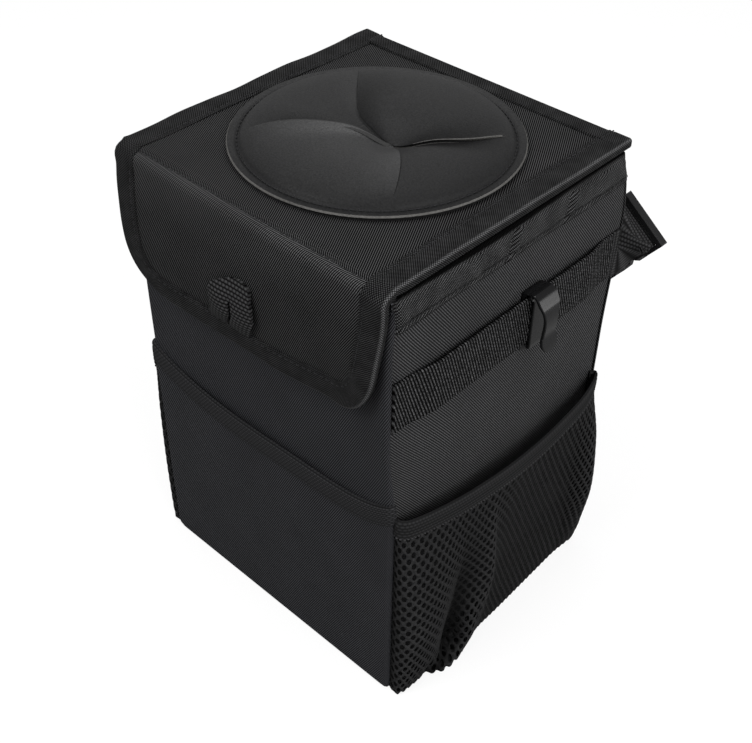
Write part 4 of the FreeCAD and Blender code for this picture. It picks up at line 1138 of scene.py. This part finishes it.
# %% Side webbing and clips
BACK = np.array([0, 1.0, 0])
web_low, web_high = span("right_webbing")
web_z, web_width, web_thick = (web_low[2] + web_high[2]) / 2, web_high[2] - web_low[2], 1.4
web_flat, web_free = half_width + web_thick / 2, web_high[0] - web_thick / 2
keys = [(web_flat - 0.4, -seam_y - 2.8), (web_flat - 0.3, -seam_y + 5), (web_flat + 0.2, -seam_y + 9),
        (web_free - 0.3, -seam_y + 18), (web_free, -seam_y + 26), (web_free, 0), (web_free, seam_y - 26),
        (web_free - 0.3, seam_y - 18), (web_flat + 0.3, seam_y - 9), (web_flat, seam_y - 5),
        (web_flat, seam_y)]
line = spline(keys, 8)
web_path = evenly(np.c_[line, np.full(len(line), web_z)], 2.0)

clip_low, clip_high = span("right_clip")
clip_y, clip_wide = (clip_low[1] + clip_high[1]) / 2, clip_high[1] - clip_low[1]
clip_wall, clip_end, clip_round = 1.6, 2.5, 1.1
frame_out = web_free + 1.1
frame_top = web_z + web_width / 2 + 0.5 + clip_end
loop_low, loop_high = web_free - 1.0 - clip_wall / 2, frame_out + clip_wall / 2
loop_ring = rounded_ring((loop_high - loop_low) / 2, (web_width + clip_end + 1) / 2, clip_round, 5)
loop_ring = loop_ring + [(loop_high + loop_low) / 2, web_z]
loop_path = evenly(np.c_[loop_ring[:, 0], np.full(len(loop_ring), clip_y), loop_ring[:, 1]], 1.0)[:-1]
tongue_reach, tongue_length, tongue_pad = 8.5, 29.0, 5.5  # the pad is the radius of the tongue's round end
shares = [(-0.3, 0.06), (-0.1, 0.02), (0.12, 0.01), (0.33, 0.05), (0.52, 0.13), (0.66, 0.2), (0.75, 0.3),
          (0.8, 0.42), (0.79, 0.55), (0.745, 0.67), (0.76, 0.75), (0.83, 0.83), (0.89, 0.91), (0.93, 1.0)]
line = [(frame_out + clip_wall + a * tongue_reach, frame_top - b * tongue_length) for a, b in shares]
line = spline(line, 6)
tongue_path = evenly(np.c_[line[:, 0], np.full(len(line), clip_y), line[:, 1]], 0.7)
down = (frame_top - tongue_path[:, 2]) / tongue_length
tongue_width = np.interp(down, [0.14, 0.2, 0.28, 0.4, 0.6, 0.7], [clip_wide, 12.0, 10.2, 8.9, 8.5, 8.6])
from_tip = run_lengths(tongue_path[::-1])[::-1] + 0.25
tip = from_tip < 2 * tongue_pad
rounded = 2 * np.sqrt(np.maximum(tongue_pad ** 2 - (tongue_pad - from_tip[tip]) ** 2, 0.4))
tongue_width[tip] = np.maximum(rounded, np.where(from_tip[tip] > tongue_pad, 8.5, 0))

# %% [markdown]
# The clip's loop is a closed strip and its tongue an open one. Both clips are one shape, mirrored, and each
# has its own body, so it can slide.


# %% Mould the clips
def strip_section(width, thick):
    """A flat section with its four corners cut."""
    w, t = width / 2, thick / 2
    c = min(0.35, t * 0.8)
    return np.array([(-w + c, -t), (w - c, -t), (w, -t + c), (w, t - c), (w - c, t), (-w + c, t), (-w, t - c),
                     (-w, -t + c)])


loop_thick = np.where(np.abs(loop_path[:, 2] - web_z) > web_width / 2 + 0.6, clip_end, clip_wall)
narrow = 3.0 * smooth_step((frame_top - 2.5 - loop_path[:, 2]) / 3) * (loop_path[:, 0] > web_free)
loop_sections = [strip_section(clip_wide - c, t - 0.1) + [c / 2, 0] for t, c in zip(loop_thick, narrow)]
loop_off = unit(np.cross(tangents(loop_path, True), BACK))
clip_points, clip_faces, clip_weave = sweep(loop_path, BACK, loop_off, loop_sections, True)
tongue_sections = [strip_section(w, 1.7) for w in tongue_width]
tongue_off = unit(np.cross(tangents(tongue_path), BACK))
points, faces, weave = sweep(tongue_path, BACK, tongue_off, tongue_sections)
clip_faces += [tuple(len(clip_points) + c for c in ring) for ring in faces]
clip_points, clip_weave = np.concatenate([clip_points, points]), np.concatenate([clip_weave, weave])
for name, sign in (("right", 1), ("left", -1)):
    strap(name + "_side_webbing", web_path * [sign, 1, 1], UP, web_width, web_thick, webbing_finish, "bin",
          [name + "_webbing"])
    piece(name + "_bag_clip", *mirrored(clip_points, clip_faces, sign), clip_plastic, name + "_clip",
          clip_weave, sharp=35, stands_for=[name + "_clip"])

# %% [markdown]
# A strap leaves each rear corner, joined behind the box by a side-release buckle. The right one is short: it
# twists, goes behind the buckle's flat end and round the bar inside it, and is sewn back on itself. A strap
# is webbing led along a line; where it twists, the direction of its width turns with the distance.

# %% The short strap
buckle = np.array([half_width + 4.2, back_y + 19.9, web_z + 11.8])
release = next(j for j in frame["joints"] if j["name"] == "buckle_release")
buckle_down = np.array(release["axis"], float)
buckle_across = np.array([-buckle_down[2], 0, buckle_down[0]])
strap_width, strap_thick, bar_radius, bar_behind = 25.0, 1.4, 1.3, 6.2
strap_x = half_width + 0.7


def by_buckle(across, down, out):
    return buckle + buckle_across * across + buckle_down * down + BACK * out


wrap = bar_radius + strap_thick / 2 + 0.1
keys = [(strap_x, seam_y, web_z), (strap_x, back_y + 1.2, web_z), (strap_x + 0.3, back_y + 6.0, web_z + 0.3),
        by_buckle(-0.3, 2.2, -10.9) + [-0.5, 0, -1.0], by_buckle(0, 3.2, -6.4),
        by_buckle(0, bar_behind - wrap, -1.2)]
line = spline(keys, 8)
turned = np.interp(np.linspace(0, 5, len(line)), [0, 1, 2, 3, 4, 5], [0, 0, 0.1, 0.72, 0.96, 1])[:, None]
bar_turn = [by_buckle(0, bar_behind - wrap * math.cos(a), wrap * math.sin(a))
            for a in np.linspace(0.2, math.pi, 10)]
back_again = [by_buckle(0, bar_behind + a, b) for a, b in ((wrap, -1.2), (0.9, -4.2), (-0.1, -7.0))]
behind = np.array(bar_turn + back_again)
ways = np.r_[UP * (1 - turned) - buckle_across * turned, np.tile(-buckle_across, (len(behind), 1))]
both = evenly(np.c_[np.r_[line, behind], ways], 1.2)
strap("short_strap_webbing", both[:, :3], both[:, 3:], strap_width + 0.8, strap_thick, strap_finish, "bin",
      ["short_strap"])

# %% [markdown]
# The long strap comes out of the plug, turns over in its slack loop and ends at the left rear corner.

# %% The long strap
socket_length, strap_off, sag, low_x = 32.0, 1.1, 83.8, -5.0
loop_y = back_y + 17.0
lean, flat_way = buckle_across, -BACK


def in_loop(across, up, out=0.0):
    """A place in the slack loop: across goes from its lowest point to the left corner, up from 0 to 1."""
    return np.array([low_x + (-strap_x - low_x) * across, loop_y + out, web_z - sag * (1 - up)])


# each key has its place and the direction of the strap's width there
keys = [(by_buckle(0, socket_length + a, strap_off), lean) for a in (8.5, 30, 52)]
keys += [(in_loop(-0.357, 0.18, 3), lean * 0.55 + flat_way * 0.55), (in_loop(-0.198, 0.042), flat_way),
         (in_loop(0, 0), flat_way), (in_loop(0.197, 0.048), flat_way), (in_loop(0.407, 0.215), flat_way),
         (in_loop(0.604, 0.453), flat_way * 0.8 + [-0.5, 0, -0.3]),
         (in_loop(0.787, 0.692, 1), flat_way * 0.35 + [-0.75, 0, -0.6]),
         (in_loop(0.932, 0.883, -1), [-0.35, -0.1, -0.9])]
keys += [((-strap_x, y, z), -UP)
         for y, z in ((back_y + 6.5, web_z - 1.5), (back_y + 0.7, web_z), (seam_y, web_z))]
line = evenly(spline([np.r_[p, w] for p, w in keys], 10), 2.0)
strap("long_strap_webbing", line[:, :3], line[:, 3:], strap_width, strap_thick, webbing_finish, "bin",
      ["long_strap"])
print("long strap", round(float(run_lengths(line[:, :3])[-1])), "mm of webbing")

# %% [markdown]
# Behind the lid a strip of cloth is the hinge: it is sewn to the back wall and to the top of the lid.
# It crosses the joint, and its low part follows the back wall's bulge.

# %% Cloth hinge
hinge_low, hinge_high = span("lid_hinge_tape")
free_z = 243.2  # above this height the strip is clear of the box
profile = [(back_y + 1.65, hinge_low[2] - 0.5), (back_y + 1.75, hinge_low[2] + 6), (back_y + 1.8, free_z),
           (lid_back + 0.35, 246.2), (lid_back + 0.75, 248.6), (lid_back - 0.6, lid_top + 0.75),
           (lid_back - 4, lid_top + 0.8), (lid_back - 9.5, lid_top + 0.75), (lid_back - 10, lid_top + 0.6)]
y, z = spline(profile, 5).T
x = np.linspace(hinge_high[0], -hinge_high[0], 80)[:, None]
with_box = 1 - smooth_step((z - free_z) / 3)
y = y + 0.2 * np.sin(x / 7.7) * bell(z - 238, 6) + pulled_out(x, back_y, z) * with_box
grid = as_grid(x, y, z)
hinge_cloth = cloth("hinge_cloth", grid, 0.7, hinge_finish, stands_for=["lid_hinge_tape"])
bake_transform(hinge_cloth)
cut_size(grid)
x, stitch_z = x[2:-2, 0], hinge_low[2] + 1.6
line = as_grid(x, back_y + 1.75 + pulled_out(x, back_y, stitch_z), stitch_z)
stitches("hinge_stitches", line, BACK, thread, "bin", radius=0.28)

# %% [markdown]
# Inside is a waterproof bag of coated cloth, tucked behind the rim tape. It shows when the lid is open, so it
# gets the slack waves of a bag a little too big for its box.

# %% The bag inside
bag_x, bag_y, bag_top = span("liner")[1] - [0.5, 0.5, 0]
bag_floor = 4.5
x, y = evenly(rounded_ring(bag_x, bag_y, 6.0, 7), 3.0)[:-1].T[:, :, None]
z = np.r_[np.linspace(bag_top - 0.3, 10, 60), 6, 4.6]
slack = 0.5 + 0.45 * np.sin(x / 17 + z / 29) * np.sin(y / 21 - z / 41) + 0.2 * np.sin(z / 6 + x / 9)
slack = np.abs(slack * np.where(z > 10, np.minimum(1, (bag_top - z) / 20), 0.4))
foot = 1 - 0.02 * np.maximum(0, (8 - z) / 4)
sides = as_grid(x * (1 - slack / bag_x) * foot, y * (1 - slack / bag_y) * foot, z)
x, y = x * [0.9, 0.6, 0.3, 0.04], y * [0.9, 0.6, 0.3, 0.04]
floor_part = as_grid(x, y, bag_floor + 0.3 * np.sin(x / 19) * np.sin(y / 15))
grid = np.concatenate([sides, floor_part], 1)[::-1]
bag = cloth("inner_bag", grid, 0.35, coated, "bin", ["liner"], around=True)

# %% [markdown]
# The lid's lining goes round the mouth in rings and turns up into it, over the board's cut edge. The flap's
# lies behind its cloth, so the same function places it, a little further in.

# %% Linings of the lid and the flap
lining_low, lining_high = span("lid_lining")
a = np.linspace(0, 2 * math.pi, 240, endpoint=False)[:, None]
c, s = np.cos(a), np.sin(a)
hole = disc_radius - 7.5
up_in, up_rise = (-0.7, -0.6), (2.6, 0.7)  # the lining goes up into the mouth, over the cut edge of the board
to_end = np.where(s > 0, lining_high[1], -lining_low[1])
far = np.minimum(lining_high[0] / np.maximum(np.abs(c), 1e-9), to_end / np.maximum(np.abs(s), 1e-9))
share = np.linspace(0, 1, 10)
dip = np.abs(0.12 * np.sin(3 * a + share * 4) * np.sin(math.pi * share))
r = np.c_[np.tile(np.add(hole, up_in), (len(a), 1)), hole + (far - hole) * share]
z = lining_low[2] + np.c_[np.tile(up_rise, (len(a), 1)), 0.05 + dip]
grid = as_grid(r * c, r * s, z)
lid_lining = cloth("lid_lining_cloth", grid, 0.35, coated, "lid", ["lid_lining"], around=True)

rows = np.r_[np.linspace(fold_end + 2.4, flap_end - flap_round, 24),
             flap_end - flap_round + flap_round * np.sin(np.linspace(0.12, math.pi / 2 * 0.97, 12))]
grid = over_front(np.linspace(-1, 1, 60)[:, None] * (half_at(rows) - 0.6), rows, -2.2)
flap_lining = cloth("flap_lining_cloth", grid, 0.6, coated, "flap", ["flap_lining"])
cut_size(grid)

# %% [markdown]
# A patch of hooks behind the flap and one of loops on the box hold the lid shut.


# %% Touch fastener
def patch(name, node, outward, body, inset):
    """A pad of pile that faces back (outward 1) or to the front (-1), pressed in along its edges."""
    low, high = span(node)
    x, z = np.linspace(low[0], high[0], 40)[::-outward, None], np.linspace(low[2], high[2], 32)
    i, j = np.arange(40)[:, None], np.arange(32)
    edge = np.minimum(np.minimum(i, 39 - i), np.minimum(j, 31 - j))
    tuft = 0.06 * np.sin(i * 2.1) * np.sin(j * 1.7)
    face = high[1] if outward > 0 else low[1]
    grid = as_grid(x, face + outward * (tuft - 0.07 - inset * bell(edge, 1.2)), z)
    made = cloth(name, grid, high[1] - low[1] - 0.2, pile, body, [node])
    cut_size(grid)


patch("hook_patch_pile", "hook_patch", 1, "flap", 0.25)
patch("loop_patch_pile", "loop_patch", -1, "bin", 0.15)

# %% [markdown]
# The stiffening boards and the buckle's two halves are rigid, so they stay as they were built and only get
# their finish: grey board, and the gloss of moulded plastic.

# %% Finishes for the solids that stay as built
boards = ["front_board", "back_board", "left_board", "right_board", "base_board", "lid_board"]
for nodes, finish in ((boards, board_grey), (["buckle_socket", "buckle_plug"], gloss_plastic)):
    for node in nodes:
        for material_slot in frame["nodes"][node].material_slots:
            material_slot.material = finish.material
    print(finish.material.name, "on", len(nodes), "solids")

# %% [markdown]
# The set is a pale floor that the camera sees as nearly white, with only the contact shadow left on it.
# The light is that of a white studio: a bright even surround, a large soft light overhead, one at the right,
# one high in front and a small one low behind the right side. Black cloth shows almost nothing but its sheen,
# so the side lights are placed to graze the panels.

# %% Floor, surround and lights
world = bpy.data.worlds.new("studio")
bpy.context.scene.world = world
world.use_nodes = True
surround = world.node_tree.nodes["Background"]
surround.inputs["Color"].default_value = (1, 1, 1, 1)
seen = add_node(world.node_tree, "ShaderNodeLightPath").outputs["Is Camera Ray"]
strength = add_node(world.node_tree, "ShaderNodeMapRange", {0: seen, 3: 0.38, 4: 1.0}).outputs[0]
world.node_tree.links.new(strength, surround.inputs["Strength"])

floor_mesh = bpy.data.meshes.new("floor")
floor_half = 3.0  # metres
corners = [(-floor_half, -floor_half, 0), (floor_half, -floor_half, 0), (floor_half, floor_half, 0),
           (-floor_half, floor_half, 0)]
floor_mesh.from_pydata(corners, [], [(0, 1, 2, 3)])
floor = bpy.data.objects.new("floor", floor_mesh)
bpy.context.collection.objects.link(floor)
paper = Finish("white floor", None, 0.9, specular=0.1)
seen = paper.node("ShaderNodeLightPath").outputs["Is Camera Ray"]
# the floor throws back less light than it shows
grey = paper.node("ShaderNodeMapRange", {0: seen, 3: 0.35, 4: 0.86})
paper.tree.links.new(grey.outputs[0], paper.surface.inputs["Base Color"])
glow = paper.node("ShaderNodeEmission", {"Color": (1, 1, 1, 1), "Strength": 1.045})
mixed = {0: paper.times(seen, 0.8), 1: paper.surface.outputs[0], 2: glow.outputs[0]}
mix = paper.node("ShaderNodeMixShader", mixed)
paper.tree.links.new(mix.outputs[0], paper.tree.nodes["Material Output"].inputs["Surface"])
floor_mesh.materials.append(paper.material)


def soft_light(name, place, aim, size, power):
    lamp = bpy.data.lights.new(name, "AREA")
    lamp.shape = "RECTANGLE"
    lamp.size, lamp.size_y = size
    lamp.energy = power
    made = bpy.data.objects.new(name, lamp)
    bpy.context.collection.objects.link(made)
    made.location = place
    made.rotation_euler = (Vector(aim) - Vector(place)).to_track_quat("-Z", "Y").to_euler()


soft_light("overhead", (-0.2, 0.1, 1.5), (0, 0, 0.2), (1.3, 1.3), 9)
soft_light("right_side", (1.35, -0.35, 1.0), (0, 0, 0.12), (0.9, 1.0), 17)
soft_light("front_above", (-0.3, -1.2, 1.45), (0, 0, 0.2), (0.8, 0.6), 14)
soft_light("right_rear", (1.05, 0.8, 0.3), (0.09, 0, 0.19), (0.35, 0.6), 3.2)
print("lights", len(bpy.data.lights))

# %% [markdown]
# The camera stands where the photograph's does: above the right front corner, looking down about forty
# degrees. The place came from the box's printed width, depth and height and the corners seen in the picture.

# %% Camera
azimuth, elevation, roll = math.radians(42.693), math.radians(40.598), math.radians(0.783)
target, distance = np.array([7.367, -6.587, 125.0]), 583.04
picture_width, focal_pixels, sensor = 752, 1167.7, 36.0
backward = np.array([math.sin(azimuth) * math.cos(elevation), -math.cos(azimuth) * math.cos(elevation),
                     math.sin(elevation)])
right = unit(np.cross(UP, backward))
upward = np.cross(backward, right)
rolled_right = math.cos(roll) * right + math.sin(roll) * upward
rolled_up = -math.sin(roll) * right + math.cos(roll) * upward
lens = bpy.data.cameras.new("camera")
lens.sensor_fit = "HORIZONTAL"
lens.sensor_width = sensor
lens.lens = focal_pixels / picture_width * sensor
lens.clip_start, lens.clip_end = 0.01, 20
camera = bpy.data.objects.new("camera", lens)
bpy.context.collection.objects.link(camera)
place = (target + backward * distance) * MM
turned = Matrix(np.stack([rolled_right, rolled_up, backward], 1).tolist())
camera.matrix_world = Matrix.Translation(Vector(place.tolist())) @ turned.to_4x4()
bpy.context.scene.camera = camera
bpy.context.scene.view_settings.view_transform = "Standard"
print("camera at", place.round(3), "m")
